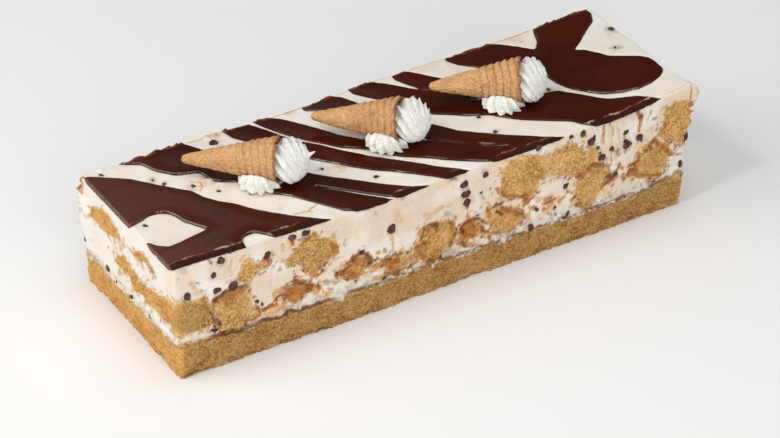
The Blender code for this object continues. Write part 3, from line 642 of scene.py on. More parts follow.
def makeStripe(index, field):
    points = np.column_stack([meshX.ravel(), meshY.ravel()])
    jag = 0.55 * roughNoise(flatGrid, 1.8, 90, 2) * np.where(points[:, 0] < -134, 0.35, 1) + 0.2
    jag = np.where(points[:, 1] > halfWidth - 3, 2.0 * jag, jag)
    edge = np.minimum.reduce([halfLength - np.abs(points[:, 0]), halfWidth - np.abs(points[:, 1])])
    edge = (edge + np.maximum(jag, -0.35) * 0.6).reshape(meshX.shape)
    broad = soften(ease(field / 6.0), 1.6)
    flat, faces, rims, (distance, fromCut, swell) = traceField(
        np.minimum(field, edge), gridX, gridY, [field, edge, broad])
    x, y = flat.T
    distance = np.where(distance < 0.04, 0, distance)
    spot = flatSpots(x, y)
    lip = np.sqrt(1 - (1 - np.clip(distance / stripeShape["lip"], 0, 1)) ** 2)
    dome = lip * (stripeShape["lipShare"] + (1 - stripeShape["lipShare"]) * swell)
    rim = creamLevel(x, y) - stripeShape["rim"]
    crest = (stripeShape["rise"] - rim) * dome
    crest += lip * (0.10 * softNoise(spot, 16.0, 5) + 0.04 * softNoise(spot, 6.0, 6))
    # the front is broken off at a slope, with a lighter line along the break
    breakLine = stripeShape["slope"] + 0.5 * softNoise(spot * [1, 0, 0], 4.0, 95 + index)
    breakLine += 0.3 * roughNoise(spot, 1.4, 96, 2)
    fromFront = halfWidth + y
    slope = ease((breakLine - fromFront) / (breakLine + 0.3)) * lip
    crest -= slope * (stripeShape["break"] + 0.45 * roughNoise(spot, 1.8, 11 + index, 3))
    fromBack = stripeShape["backStop"] - y
    crust = ease((2.2 + 0.9 * softNoise(spot, 4.0, 93) - fromBack) / 1.2) * (y > 0)
    crest += crust * (stripeShape["crust"] * roughNoise(spot, 2.0, 94, 2) + 0.05) * lip
    top = cake["creamTop"] + rim + np.maximum(crest, 0)
    front = np.column_stack([flat, np.maximum(top, bedHeight(distance, x, y))])
    back = np.column_stack([flat, bedHeight(distance, x, y)])

    def roughen(middle, ids, share):
        out = np.where(fromCut[ids] < 0.2, 0.4 * roughNoise(middle, 1.5, 31, 2) + 0.25 * share, 0)
        away = np.sign(middle[:, :2]) * (np.abs(middle[:, :2]) > np.array([halfLength - 1.5, halfWidth - 1.5]))
        middle[:, :2] += away * (out * np.sin(math.pi * share) ** 0.5)[:, None]
        return middle

    allPoints, allFaces, source = platePoints(faces, rims, front, back, 6, roughen)
    wall = np.arange(len(allPoints)) >= len(front)
    onLeft = ease((-137 - x) / 2)
    cutMark = np.where(wall, ease((0.5 - fromCut[source]) / 0.4), 0) * onLeft[source]
    torn = np.maximum(np.where(wall, 0.9, 1) * ease((breakLine - fromFront)[source] / 0.7), 0)
    patchy = ease((0.35 if index < 2 else 0.7) + 1.3 * softNoise(spot * [1, 0.3, 0], 5.0, 97 + index))
    brink = ease(1 - np.abs(fromFront - breakLine - 0.1) / (0.7 if index < 2 else 0.9)) * patchy
    brink = np.where(wall, 0, brink[source])
    gloss = ease(1 - np.abs(distance - 0.5) / 0.6) * (1 - slope)
    if index >= 2:   # the thin stripes glint here and there
        gloss *= 0.15 + 0.85 * ease(0.4 + 2.2 * softNoise(spot, 7.0, 99))
    gloss = np.where(wall, 0, gloss[source])
    crustMark = crust[source] * np.where(wall, 0.9, ease(0.75 + 0.8 * softNoise(spot, 2.5, 98))[source])
    # the last mark is the painted sheen, strongest at the left end
    return makePiece(f"stripe{index + 1}", settle(allPoints), allFaces, chocolate,
                     {"cut": cutMark, "brink": brink, "torn": torn, "crust": crustMark, "gloss": gloss,
                      "paintedSheen": ease((-88 - allPoints[:, 0]) / 55)}, sharp=38)


for index, field in enumerate(stripeFields):
    finishPiece(makeStripe(index, field), "chocolate", f"chocolate_stripe_{index + 1}")
print("chocolate stripes are poured")


# sponge chunks: fields over the unrolled sides

# in a long side: place along the cake, height of the middle, width, height, turn, how soaked with caramel
frontChunks = [
    (-114, 29.5, 20, 22, 8, 0.15), (-101, 49, 19, 13, -6, 0), (-81, 29.5, 20, 9, 4, 0.6),
    (-70.5, 46.5, 27, 23, 0, 0.05), (-48, 30.5, 19, 12, 10, 0.6), (-26, 24.5, 11, 9, 0, 0.75),
    (-3, 29, 25, 19, -12, 0.35), (16, 29.5, 11, 10, 0, 0.85), (36, 27, 23, 15, 0, 0.4),
    (44, 46.5, 28, 22, 10, 0.05), (73, 48.5, 28, 18, 8, 0), (84, 29.5, 17, 26, -38, 0.15),
    (121, 31.2, 26, 20, 24, 0.15), (133.5, 47.6, 24, 20, 14, 0),
]
backChunks = [
    (-126, 47, 24, 20, 6), (-119, 26, 20, 14, -8), (-92, 33, 24, 19, 12),
    (-66, 48.5, 25, 17, -5), (-57, 27, 20, 13, 7), (-30, 40, 26, 21, -10),
    (-4, 27, 19, 14, 0), (14, 48, 27, 19, 8), (38, 29, 25, 19, -14),
    (60, 48, 20, 15, 5), (81, 28, 22, 17, 10), (101, 46.5, 26, 21, -6), (126, 29, 23, 17, 9),
]
# in an end: place across the cake, height of the middle, width, height, turn
leftChunks = [(21, 47.5, 32, 13, -4), (-15, 49.5, 24, 7, 3)]
rightChunks = [(24, 31, 28, 19, 8), (5, 49, 27, 15, -6), (-14, 27, 20, 15, 5)]
chunkShape = {"inset": 1.5, "depth": 11.0, "dent": 0.13, "step": 0.5, "lap": 1.0, "proud": 0.14, "sunk": 0.62,
              "corners": 96, "crumbled": 2.9, "margin": 3.0}


def sidePlace(side, place):   # how far round the block a place on a side is
    return {"left": halfWidth - place, "front": frontStart + halfLength + place,
            "right": rightStart + halfWidth + place, "back": backStart + halfLength - place}[side]


def lumpRow(side, place, z, half, height, turn, depth):
    sign = {"front": -1, "back": 1, "left": -1, "right": 1}[side]
    if side in ("front", "back"):
        middle = Vector((place, sign * (halfWidth - chunkShape["inset"]), z))
    else:
        middle = Vector((sign * (halfLength - chunkShape["inset"]), place, z))
    reach = []
    for step in range(chunkShape["corners"]):
        angle = 2 * math.pi * step / chunkShape["corners"]
        across, up = math.cos(angle), math.sin(angle)
        n = Vector((across, 0, up)) if side in ("front", "back") else Vector((0, across, up))
        boxy = (abs(across) ** 3 + abs(up) ** 3) ** (-1 / 3)
        reach.append(boxy * (1 + chunkShape["dent"] * noise.noise(n * 1.7 + middle * 0.37)))
    return {"side": side, "s": sidePlace(side, place), "z": z, "half": half, "high": height, "turn": turn,
            "depth": depth, "reach": np.array(reach + reach[:1])}


def wayRound(s, start):   # how far one place is from another, the shorter way round the block
    return (s - start + outline / 2) % outline - outline / 2


def lumpField(lump, s, z):   # distance inside the lump's outline, and how far out from its middle
    across = wayRound(s, lump["s"])
    if lump["side"] in ("left", "back"):
        across = -across
    up = z - lump["z"]
    turn = math.radians(lump["turn"])
    if lump["side"] in ("front", "back"):
        a, b = across * math.cos(turn) - up * math.sin(turn), across * math.sin(turn) + up * math.cos(turn)
    else:
        a, b = across * math.cos(turn) + up * math.sin(turn), -across * math.sin(turn) + up * math.cos(turn)
    a, b = a / lump["half"], b / lump["high"]
    angle = np.mod(np.arctan2(b, a), 2 * math.pi) / (2 * math.pi) * chunkShape["corners"]
    share = np.sqrt(a * a + b * b) / np.interp(angle, np.arange(len(lump["reach"])), lump["reach"])
    cubed = np.maximum((np.abs(a) ** 3 + np.abs(b) ** 3) ** (1 / 3), 0.05)
    slope = np.sqrt((a * a / lump["half"]) ** 2 + (b * b / lump["high"]) ** 2) / cubed ** 2
    return (1 - share) / np.maximum(slope, 0.02), share


creamShape = {"countX": 350, "countY": 112, "rows": 56, "curdTop": 23.5, "curdDepth": 1.05, "knifeDepth": 0.45,
              "tear": 3.0}
# bulges of the sides: side, place, height, reach along, reach up, how far out
bulges = [
    ("left", 44, 46, 5, 14, 2.6), ("left", 40, 30, 6, 8, 0.9), ("right", 40, 57, 7, 7, 1.8),
    ("right", -43.5, 56.5, 4, 6.5, 5.2), ("right", -34, 24, 5, 3, 1.2), ("front", -128, 19, 9, 1.6, 0.5),
    ("left", -30, 20, 14, 2, 0.5),
]
# outlines of the sponge that shows in the front and the left end: place and height of each corner in turn
spongeOutlines = {
    "front": [
        (-146, 42, -136.5, 42, -132.3, 41.3, -128.5, 41, -127.3, 42.6, -124.6, 41, -123.5, 38.6, -123.3, 36.3,
         -122.7, 33.2, -122, 29.4, -120.6, 25.5, -124.6, 24.8, -128.5, 23.6, -132.3, 23.2, -137, 22.3, -146, 23.4),
        (-123, 36.5, -121.5, 38, -118.5, 39.5, -116, 41, -113, 41.3, -106, 41.8, -104.8, 39.5, -104, 36.3, -102.8,
         33.2, -101.8, 29.6, -101.3, 27, -98.5, 24, -97.5, 22.4, -101, 22.6, -104, 21.2, -106.3, 18, -119.3, 18,
         -119.6, 24, -121, 29),
        (-110.5, 46, -108.5, 47.5, -107.5, 50, -106.5, 52.5, -105.7, 55, -103, 55.8, -101, 54.3, -99.8, 52.6, -97.4,
         51.6, -95.5, 53, -92, 52, -91.3, 50, -92, 47.8, -95.5, 46, -98, 46.4, -99.5, 44.6, -101.6, 42.5, -104.3,
         43.2, -106.5, 43, -108.7, 44.4),
        (-84.5, 45.5, -84, 47.5, -81.5, 48.5, -79.5, 51.2, -77.5, 53, -73.5, 56, -71.5, 57.6, -69.5, 57.8, -67.5,
         57.3, -66.3, 55, -64, 53.6, -61, 52.6, -58.7, 51.3, -57.3, 49, -56.2, 46, -56.3, 43, -57.5, 41.1, -60,
         41.8, -62.5, 38.8, -65, 37, -67.2, 35.2, -69.5, 34.2, -72, 37, -74.5, 39.6, -76.3, 42, -79, 43.2, -82, 44),
        (-85.5, 30.5, -84, 32.5, -82, 34, -79.8, 35.2, -77, 33.6, -74, 32, -71, 30, -69.5, 28.3, -66, 26.8, -66,
         25.6, -70, 25, -71.5, 26, -74, 25.5, -76.5, 24, -79, 22.5, -81.5, 23, -83, 25, -83.5, 27),
        (-57, 29.2, -56.3, 30.9, -54.5, 32, -52, 32.5, -49.8, 34, -48, 36.3, -46.5, 37.8, -44.5, 38.5, -42.5, 37.5,
         -40.5, 35.9, -38.7, 34, -37.5, 31.3, -37.8, 29.6, -41, 29, -42.3, 27, -43.5, 25.5, -47.5, 23.4, -49.8, 24,
         -51, 25.5, -51.5, 27.5, -55.5, 28.3),
        (-32, 29.4, -30, 29.8, -27, 30.4, -22.5, 29.4, -20.3, 29.5, -19.5, 28, -19.8, 25.2, -18.5, 23.5, -18, 21.5,
         -20, 20.2, -22.5, 18.6, -25.5, 18.8, -28.5, 20, -31, 21.8, -31.6, 25),
        (-15.8, 29.5, -14, 31.3, -12, 33.2, -12, 37, -12, 39, -10, 39.5, -6, 39.9, -1.5, 40.9, 0.5, 40.1, 3, 38.6,
         5, 37, 5.8, 34.5, 7, 32.8, 8.5, 31, 8.3, 28.4, 8, 25.5, 6, 24.8, 3, 24.8, 1.5, 22.5, 0, 20.7, -4.5, 19.5,
         -9.5, 20.3, -11.3, 22, -12.7, 24.6, -14, 27),
        (9.5, 31, 10.5, 33.2, 13, 34.4, 16.5, 35.2, 19.5, 34.5, 19, 31.6, 20.5, 28.2, 22.5, 26.7, 24.5, 24, 24,
         22.6, 19, 24.5, 16, 23.8, 13, 24, 11.5, 26, 10.5, 28.5),
        (24.5, 36.7, 26.5, 37.8, 29, 36.9, 34.5, 37.2, 33, 35.3, 36.5, 34.2, 38, 33.2, 40.5, 32, 43, 31, 45, 29.5,
         46.5, 28, 46.3, 25.5, 45, 22.5, 42.5, 21.5, 40, 20.5, 38, 19, 36, 19.5, 34.5, 21.5, 33, 23, 29, 23.4, 27,
         24, 26.5, 28, 25.5, 30, 24.4, 32, 25.5, 34),
        (34.5, 58.3, 38, 60, 42, 60.6, 46, 60.2, 50, 59.2, 53.5, 57.7, 57.5, 56.2, 60.4, 54, 61.5, 50, 60.6, 45.5,
         57, 43.5, 54, 43, 53.8, 40, 53.5, 37, 52, 35.3, 49.5, 35.3, 47.5, 32.8, 46.5, 32.6, 46, 35.5, 44, 37, 40,
         38.6, 36, 40, 33.5, 42, 32, 44, 31.5, 46.7, 32.2, 49, 32.7, 52, 33, 55),
        (60.5, 53.4, 63, 56.8, 64.5, 58.6, 66.5, 57.2, 70, 59, 72.5, 57.7, 75, 56.1, 76.5, 53.6, 79, 51.3, 84.5, 50,
         87, 47.5, 88.5, 45, 87.5, 43, 85.5, 41.7, 82, 40.5, 79, 40, 77, 38.5, 74, 38.4, 71, 39.4, 68, 41, 64.5, 42,
         60.8, 43.2, 60, 48),
        (76, 33.2, 76.8, 35.3, 79, 37.5, 81.5, 39.4, 83.5, 41.3, 85.5, 42.3, 88, 41, 90.5, 40, 93, 38, 94.5, 36, 96,
         34, 97.5, 31, 98.5, 29, 97, 28, 94, 28.5, 91.5, 28, 90.5, 25.5, 88.5, 23.6, 88, 21.5, 86.5, 19, 85.5, 17.3,
         83, 17, 79.5, 17.6, 78.5, 20, 77.5, 22.5, 75.5, 25.2, 75.3, 30.5),
        (106, 29.8, 108, 31.5, 109.5, 33.6, 111.5, 35.9, 115.5, 38.4, 117, 40.5, 119, 42.2, 120.5, 43, 123, 40.2,
         125.5, 37.8, 128, 35.5, 130, 32.8, 131.5, 31, 129.5, 29.5, 128, 27, 126, 24.5, 126.5, 22, 126, 20.8, 124,
         20.2, 121, 21.3, 117.5, 22.5, 114, 24, 111, 25.5, 108.5, 27, 106.5, 28.5),
        (121.6, 43.4, 123, 46, 124.5, 48.6, 125, 52, 125.2, 56.5, 128, 56.7, 131, 57.7, 134, 57, 137, 55.5, 139.3,
         54.8, 144, 54, 144, 35.6, 140.5, 37.6, 138.5, 35, 136, 34.5, 133, 35.5, 130.5, 36.5, 128, 37.5, 124.5,
         40.5)],
    "left": [
        (5, 47.3, 8, 50, 9.5, 51.5, 12, 52.2, 15.5, 53, 18, 54.5, 22, 54.3, 26.5, 54, 28.5, 51.8, 31, 50.5, 33.5,
         50.5, 35.5, 48, 35, 45.5, 37, 42.5, 29, 42.2, 23, 42, 18, 43, 13, 44.8, 8, 46),
        (-26.5, 49.4, -24, 50.3, -21, 51.5, -18.5, 52.5, -14, 53, -11, 51.8, -8, 50, -5, 48.3, -2.5, 47.5, 0, 46.5,
         -2, 45.5, -5, 46, -9, 45, -12, 46.5, -14, 47.8, -17, 49.3, -20, 48.3, -24, 48),
        (-41, 39, -38, 41.5, -33, 39.5, -27, 38, -20, 36.5, -14, 35, -9, 34.5, -6, 36.5, -1, 38, 3, 39.5, 5, 40.3,
         8, 38, 11, 36, 13.5, 34, 13, 31, 10.5, 29, 8, 30.5, 5, 29.5, 3, 31, 0, 30.5, -1.5, 28, -1, 25, -5, 25.5,
         -8, 27.6, -11, 28, -13.5, 27.5, -15.5, 24.5, -19, 25.5, -23, 27.5, -27, 25.5, -32, 25, -35, 27, -40, 27,
         -50, 26.5, -50, 43, -44, 40)],
}
baseShape = {"countX": 560, "countY": 180, "rows": 33, "slant": 1.0, "dent": 0.5, "dentReach": 16.0,
             "backEdge": 17.2, "crumbs": 0.38, "pores": 0.6, "foot": 0.9, "brow": 0.35, "nibble": 2.2}
# height of the base's upper edge as it shows, and how brown the band under it is: place, height, brownness
baseEdge = {
    "front": [
        (-140, 19.4, 0), (-134, 19.2, 0), (-128, 18.8, 0), (-123, 19, 0.7), (-118, 19.2, 1), (-112, 18.5, 1),
        (-106, 17.4, 0.9), (-102, 17.8, 0.4), (-97, 19.4, 0.9), (-92, 18.4, 1), (-88, 17.3, 1), (-83, 19.2, 0.9),
        (-78, 17.8, 0.9), (-68, 18.6, 0.9), (-62, 18, 0.8), (-58, 16.8, 0.3), (-54, 15.8, 0.2), (-51, 18.2, 0.6),
        (-47, 18.6, 0.8), (-43, 17.8, 0.7), (-39, 16.7, 0.4), (-33, 17.3, 0.4), (-27, 16.8, 0.5), (-22, 17.4, 0.3),
        (-17, 16.2, 0.4), (-13, 17.3, 0.6), (-7, 17.6, 0.6), (-4, 15.4, 0.1), (-1.5, 17.2, 0.5), (3, 17.4, 0.6),
        (8, 16.7, 0.5), (14, 16.6, 0.5), (17.5, 15.9, 0.1), (20, 17, 0.5), (25, 17.4, 0.8), (30, 16.8, 0.8),
        (33.5, 16, 0.6), (36, 15.4, 0.1), (39, 16.6, 0.7), (45, 16.6, 0.7), (50, 16, 0.5), (55, 16.8, 0.3),
        (67, 16, 0.3), (80, 16.1, 0.4), (86, 16.7, 0.6), (93, 17.2, 0.9), (98, 15.4, 0.4), (101, 17.3, 0.9),
        (107, 16.6, 0.7), (112, 16, 0.2), (118, 16.9, 0.6), (122, 18.2, 0.8), (126, 19.1, 0.8), (129, 19.5, 0.6),
        (132, 18.2, 0.4), (134, 20, 0.3), (136, 21, 0.5), (140, 18, 0.2)],
    "left": [
        (-45, 19.2, 0), (-40, 17.6, 0), (-30, 17.3, 0), (-18, 16, 0), (-10, 16.5, 0), (0, 17.3, 0.1), (10, 15.8, 0),
        (15, 17, 0.1), (25, 16.4, 0), (33, 18.2, 0), (38, 17, 0), (45, 17, 0)],
}
# strokes over cream and sponge alike, by side and kind: breadth, strength, then place and height of each point
strokes = {
    "front": {
        "caramel": [
            (1.4, 0.9, -80, 63.5, -78, 62.5), (0.8, 0.6, -69, 59, -68.6, 56),
            (2.0, 0.7, -119, 37.6, -112, 38.6, -106.5, 38.6), (1.6, 0.7, -122.6, 36, -122.2, 33.6),
            (1.3, 0.9, -98, 24.2, -93, 24.6, -89.5, 24.4), (1.0, 0.7, -96, 22, -94.6, 20.4),
            (0.9, 0.9, -89.6, 26, -88.6, 24), (2.6, 0.85, -82, 30, -75, 27.6, -71, 27.5),
            (1.5, 0.9, -82.5, 25, -79.6, 23.4), (1.2, 0.7, -69, 27.4, -65.6, 26), (1.2, 0.5, -63, 27, -61.5, 26),
            (1.7, 1.0, -60, 48.5, -58.6, 46, -57.4, 43.6), (0.8, 0.5, -80.6, 49, -80, 47),
            (1.0, 0.5, -62, 51, -60.5, 50), (2.2, 0.9, -54.6, 30, -50, 29.6, -48, 26),
            (2.2, 0.7, -47, 34, -43, 32.6), (1.3, 0.7, -35.6, 34.8, -34.6, 34.4),
            (2.2, 1.0, -29.6, 27.6, -25.6, 26.4), (1.5, 1.0, -28.6, 25, -28.4, 23),
            (1.0, 0.9, -19.8, 22.6, -19, 21.4), (1.4, 0.8, -9.4, 38, -7, 37.6),
            (1.6, 0.9, -14.4, 29.4, -11, 30, -8, 29.8), (1.7, 0.9, -13.6, 28, -12, 24.6, -9.6, 21.6),
            (1.6, 1.0, 6, 35.4, 7, 32.6, 8.4, 31), (1.9, 1.0, 11.6, 28.4, 14, 26, 17, 25.2),
            (1.9, 1.0, 14.6, 33, 17, 31, 18, 29), (1.4, 0.8, 22, 27, 24.6, 24),
            (1.8, 0.9, 34.5, 33.4, 38, 32, 42, 30.2, 45, 28.4), (1.3, 0.9, 26.4, 35, 27.6, 32.6),
            (1.7, 1.0, 29.4, 22.4, 30.8, 22), (1.2, 0.9, 26.8, 23.4, 27.6, 20), (1.2, 0.9, 14.6, 22, 15.6, 20.8),
            (1.2, 1.0, 31.4, 46.6, 33, 44, 36, 41, 40, 39.4, 44, 37.6, 48, 36.4), (1.0, 0.9, 47, 34.6, 47.4, 33),
            (0.9, 0.6, 34.6, 60, 38.6, 60.2), (1.0, 0.4, 40, 56.6, 41.6, 55.6), (1.2, 0.9, 58.6, 28.2, 64, 29),
            (1.2, 0.9, 50.4, 28.6, 53, 27.2), (1.1, 0.8, 57.4, 27, 57.6, 25.6), (0.9, 0.7, 60, 25.4, 63.4, 27.2),
            (1.0, 0.6, 60, 23, 62, 22), (1.4, 0.8, 71.6, 31, 73.6, 29.6),
            (1.5, 0.9, 77.6, 36, 81, 38.6, 84, 40.8, 86.4, 41.4, 90, 39.6), (1.1, 0.8, 91.5, 28.7, 97, 28.4),
            (1.2, 0.8, 92, 35, 95, 32.4), (1.0, 0.8, 99, 30.6, 101.4, 29), (0.7, 0.5, 98, 26, 97, 23.4),
            (1.5, 0.4, 92.4, 21.6, 92.6, 20.4), (1.6, 1.0, 107, 29.4, 109.4, 32, 112.6, 36),
            (1.3, 1.0, 120.4, 41.4, 123, 39.4, 126.5, 36, 129, 33, 131, 31),
            (1.3, 1.0, 108, 27.5, 112, 25.6, 117, 23.4, 121, 22.2, 124.6, 21),
            (0.7, 0.9, 90.5, 62, 91.3, 57, 91, 51), (0.7, 0.6, 96, 60, 96.5, 54), (0.9, 0.7, 96, 44, 96.2, 40),
            (1.2, 0.85, 111.6, 58, 111.2, 50.6), (0.9, 0.6, 117.2, 58.4, 116.4, 55),
            (1.3, 0.35, 109, 44, 110.6, 41), (0.9, 0.85, 139.3, 64, 139.7, 58, 140, 49),
            (1.2, 0.55, -27.5, 42, -27, 37, -26.8, 33), (1.2, 0.75, 14.2, 43, 14.7, 38, 14.9, 35),
            (0.9, 0.65, -111.8, 57.4, -112.6, 54), (0.6, 0.4, -115, 51.5, -115, 49),
            (0.9, 0.95, -85, 56.4, -85.2, 53), (1.1, 0.9, -80.4, 57.6, -80.2, 55.4),
            (1.3, 0.7, -74, 56, -71.6, 55.6), (1.0, 0.6, 79, 57, 79.4, 55.6), (1.0, 0.7, 81, 53, 83, 52.4),
            (0.9, 0.4, 6.4, 56.6, 7, 55.4), (1.4, 0.25, -44.6, 56, -46.6, 50, -46, 46),
            (1.0, 0.25, -15.4, 58, -15, 53), (2.2, 0.55, -95, 23, -90, 22, -86, 23.4),
            (2.0, 0.45, -68, 22, -60, 21), (2.2, 0.7, -38.4, 25.6, -34.6, 27.4), (1.8, 0.6, -17.6, 26, -15.6, 22.6),
            (2.0, 0.75, 21.6, 29.4, 22.6, 25.6), (2.4, 0.6, -3, 23, 4, 21.6),
            (1.8, 0.8, 9.4, 25, 12, 21.6, 17, 19.6), (1.6, 0.6, -37, 21, -33, 19.6), (1.6, 0.6, 46, 26.6, 49, 23),
            (1.6, 0.5, 54, 31.4, 57, 32.4, 62, 32), (1.5, 0.7, 66, 27, 69, 28.4), (1.4, 0.6, 73, 22, 74.6, 26),
            (1.8, 0.5, 92, 24.6, 95, 22), (1.4, 0.7, 100.6, 36, 103, 33), (1.6, 0.45, 112, 40, 114, 43)],
        "cocoa": [
            (1.2, 1.0, -121, 38, -118, 39.6, -115, 40.8, -110, 41.3, -105.5, 41),
            (0.8, 1.0, -122.6, 33, -121.6, 29), (1.2, 0.9, -121.3, 28.5, -120, 25.2, -118.5, 24.4),
            (0.7, 0.9, -101, 26.6, -99, 25.6, -95.5, 25, -91.5, 25.4), (0.7, 1.0, -100.6, 28, -99, 26.4),
            (0.75, 1.0, -90, 26.6, -89, 28.3, -87, 29.4, -85, 28.8, -83.3, 26.8),
            (0.7, 0.9, -84.5, 31.6, -82.4, 33.8, -80.6, 34.6, -79.6, 36.6),
            (1.4, 0.85, -80, 33, -77, 32.4, -74, 31), (1.6, 0.7, -73, 30.6, -70.5, 28.4, -72.6, 27),
            (0.6, 0.6, -63, 29, -61.6, 27.6),
            (0.8, 1.0, -56.4, 30, -53.6, 31.8, -50.6, 32.6, -49, 34, -47.4, 36.6, -46, 37.8),
            (1.0, 1.0, -44.6, 38.4, -44, 36.8), (1.5, 0.9, -42, 36.4, -39.8, 34.2, -38.6, 31.4, -40.6, 29.8),
            (0.9, 0.7, -31.4, 35, -30.8, 33.8),
            (0.6, 0.9, -35, 31.6, -33.8, 29.9, -31, 29.4, -28.5, 29, -27, 30.4, -25.5, 29.6, -22.5, 29, -20, 29.8),
            (0.9, 0.6, -26, 27, -24, 25.6), (0.6, 1.0, -11.6, 33, -10.6, 35, -9.6, 37.4, -10.4, 39.4),
            (0.6, 0.9, -11.2, 34.7, -9.6, 34.4), (1.3, 1.0, -5.6, 38.8, -3.2, 38.4),
            (0.7, 0.7, -8.6, 39.6, -6.4, 39.6), (0.9, 0.7, -3, 37.4, -2.2, 35), (0.7, 0.7, -10, 30.6, -8.6, 30),
            (0.8, 0.7, 3.6, 37.6, 5, 36.4), (0.8, 0.8, 6.6, 29.4, 8.2, 28.4),
            (1.0, 0.75, 10.5, 32.4, 13, 33.8, 17, 34.5, 20, 34), (1.2, 0.9, 11, 31, 12, 29),
            (0.6, 0.8, 20.7, 35.6, 22.2, 35.2), (1.0, 1.0, 21, 32.8, 23, 31.2, 25.3, 29.2),
            (0.6, 0.8, 25.4, 36.5, 29, 36.5, 33.5, 37.2), (0.7, 0.9, 30.6, 33, 32.5, 32, 34, 31),
            (0.9, 0.5, 41, 29, 43.6, 27.6), (0.6, 0.8, 30.2, 47.2, 31.2, 46.6),
            (0.8, 0.75, 57, 29, 60, 29.4, 64, 30, 66.4, 29.6), (0.9, 0.9, 63.8, 24.6, 64, 23.4),
            (0.8, 0.8, 64, 21.4, 64.2, 20.6), (1.0, 0.55, 84.6, 41.6, 88, 40.6, 92, 38.4),
            (2.1, 1.0, 94.6, 31.6, 96.6, 30.2), (1.1, 0.8, 103.2, 28.8, 104, 26.4),
            (1.3, 0.7, 107.4, 29.6, 110.4, 29.4), (0.8, 0.8, 117.4, 39.6, 119.4, 41.2, 121, 42.6),
            (0.9, 0.7, 117.8, 39, 119, 37.6), (0.5, 0.6, 130.4, 30.2, 135.4, 29),
            (0.4, 0.8, 94.2, 62.5, 94.8, 58.4), (0.9, 0.7, 95.4, 47.6, 97, 45), (0.8, 0.8, 103.6, 51, 104.4, 47.6),
            (0.7, 0.8, 104.5, 43.4, 104, 41.2), (1.3, 0.95, 110.2, 61, 111.6, 57.6), (0.8, 0.6, 14, 47, 14.3, 43.6),
            (0.8, 0.7, 12.8, 53.6, 14.4, 51.6), (0.6, 1.0, -122.4, 62, -121.4, 60, -120.8, 58.4),
            (0.5, 0.9, -129, 51, -127.2, 50), (0.35, 0.6, -139.4, 56.8, -137.4, 56.4),
            (1.2, 0.6, -73.6, 56.8, -72, 56.2), (0.9, 0.7, 79, 61.6, 79.4, 59), (1.2, 0.8, 6, 60.8, 7.6, 60.4),
            (0.8, 0.8, -24, 20.6, -19, 19.6, -14, 21), (0.9, 0.8, 9, 22.6, 13, 20.6),
            (0.7, 0.7, -62, 24, -59, 22.6), (0.6, 0.8, 58, 31, 62, 31.6), (0.7, 0.8, 99.4, 33, 101, 35.4),
            (0.7, 0.7, 92, 39, 94.6, 37.4), (1.2, 0.7, 99, 44.4, 100, 42)],
        "cream": [
            (0.8, 1.0, 20, 30.8, 23, 28, 26.4, 25.2)],
        "deep": [
            (0.5, 1.0, 129.6, 30.4, 134, 29.2, 137, 28.7), (1.7, 0.35, -135, 60.6, -134, 59),
            (1.4, 0.55, 2.6, 42.4, 4.6, 41.6), (1.3, 0.45, 22.6, 59, 25, 58.4), (0.9, 0.6, 22.6, 45.6, 23.4, 43.8),
            (1.2, 0.75, -58, 26, -55.6, 26.6), (1.2, 0.75, -18.6, 25, -16.8, 24), (1.0, 0.4, -36.6, 59, -36, 57),
            (0.8, 0.6, -22, 61, -20.6, 60.4), (0.9, 0.9, 78, 39.2, 79, 38.6), (0.9, 0.9, 119, 53.8, 120.2, 53.2),
            (0.7, 0.5, 118.4, 49, 118.6, 48), (0.9, 0.85, 41, 19, 41.4, 18.2), (1.0, 0.45, 90.2, 55, 90.4, 52),
            (1.6, 0.4, 3, 19.6, 7, 19), (0.8, 0.3, 99.6, 57, 100.4, 50), (1.2, 0.3, -52, 22, -48, 20.4)],
        "crumb": [
            (2.2, 0.5, -24.6, 53, -23.4, 48.6), (1.1, 0.7, -9, 46.6, -5, 45.6, 0, 47.6),
            (1.0, 0.5, 4, 47.4, 4.6, 46), (1.6, 0.7, -131.4, 51, -130.6, 48.8), (1.8, 0.5, -130, 46, -127, 43.6),
            (1.2, 0.5, -114.6, 46.4, -112, 46), (1.3, 0.6, -113.6, 54, -112.4, 52),
            (1.6, 0.5, -93, 19.6, -88, 20.6, -84, 21), (1.6, 0.45, -101, 21, -98, 20),
            (1.6, 0.45, -46, 22.6, -39, 23), (1.8, 0.4, -36, 27, -33, 24), (1.6, 0.6, -67, 29, -61, 27),
            (1.6, 0.5, 64, 58, 63, 53), (1.6, 0.5, 16, 46.6, 17.4, 44.6), (1.5, 0.4, 58, 24, 62, 24.6),
            (1.4, 0.4, 34, 39, 38, 38)],
        # painted shade over the fronts of the corner chunk and a few other chunks
        "paintedShade": [
            (6, 0.95, -139, 36, -128, 34), (6, 0.95, -138, 28, -127, 29), (5, 0.5, -113, 37, -108, 30),
            (6, 0.35, -77, 48, -66, 44), (5, 0.4, 124, 34, 116, 28)],
        "knife": [
            (9, 1.0, 98, 56, 98, 44), (9, 1.0, 107, 56, 107, 44), (5, 0.5, -92, 50, -92, 38),
            (10, 0.25, -30, 46, -14, 40)],
    },
    "left": {
        "cocoa": [
            (1.1, 0.9, 44, 62, 44.6, 57, 44.2, 54), (0.6, 0.4, -24, 49.8, -21.6, 49.4)],
        "caramel": [
            (1.6, 0.8, 43.6, 60, 43, 53), (0.9, 0.6, 9.6, 51.4, 12, 49.4, 14, 47.6),
            (0.9, 0.8, -12, 51.2, -9, 49, -5.4, 47), (0.8, 0.6, -19.6, 52, -17, 52), (1.4, 0.7, -38.6, 30, -34, 27),
            (1.0, 0.5, -14.6, 32.4, -11, 30.6), (1.0, 0.6, -8.6, 28.6, -5.6, 26.4), (0.8, 0.4, 13, 45.4, 17, 44),
            (1.0, 0.6, 20, 35, 21.6, 34.2), (1.0, 0.7, 46, 58, 46, 52), (1.6, 0.7, -10, 4, -8, 3)],
        "crumb": [
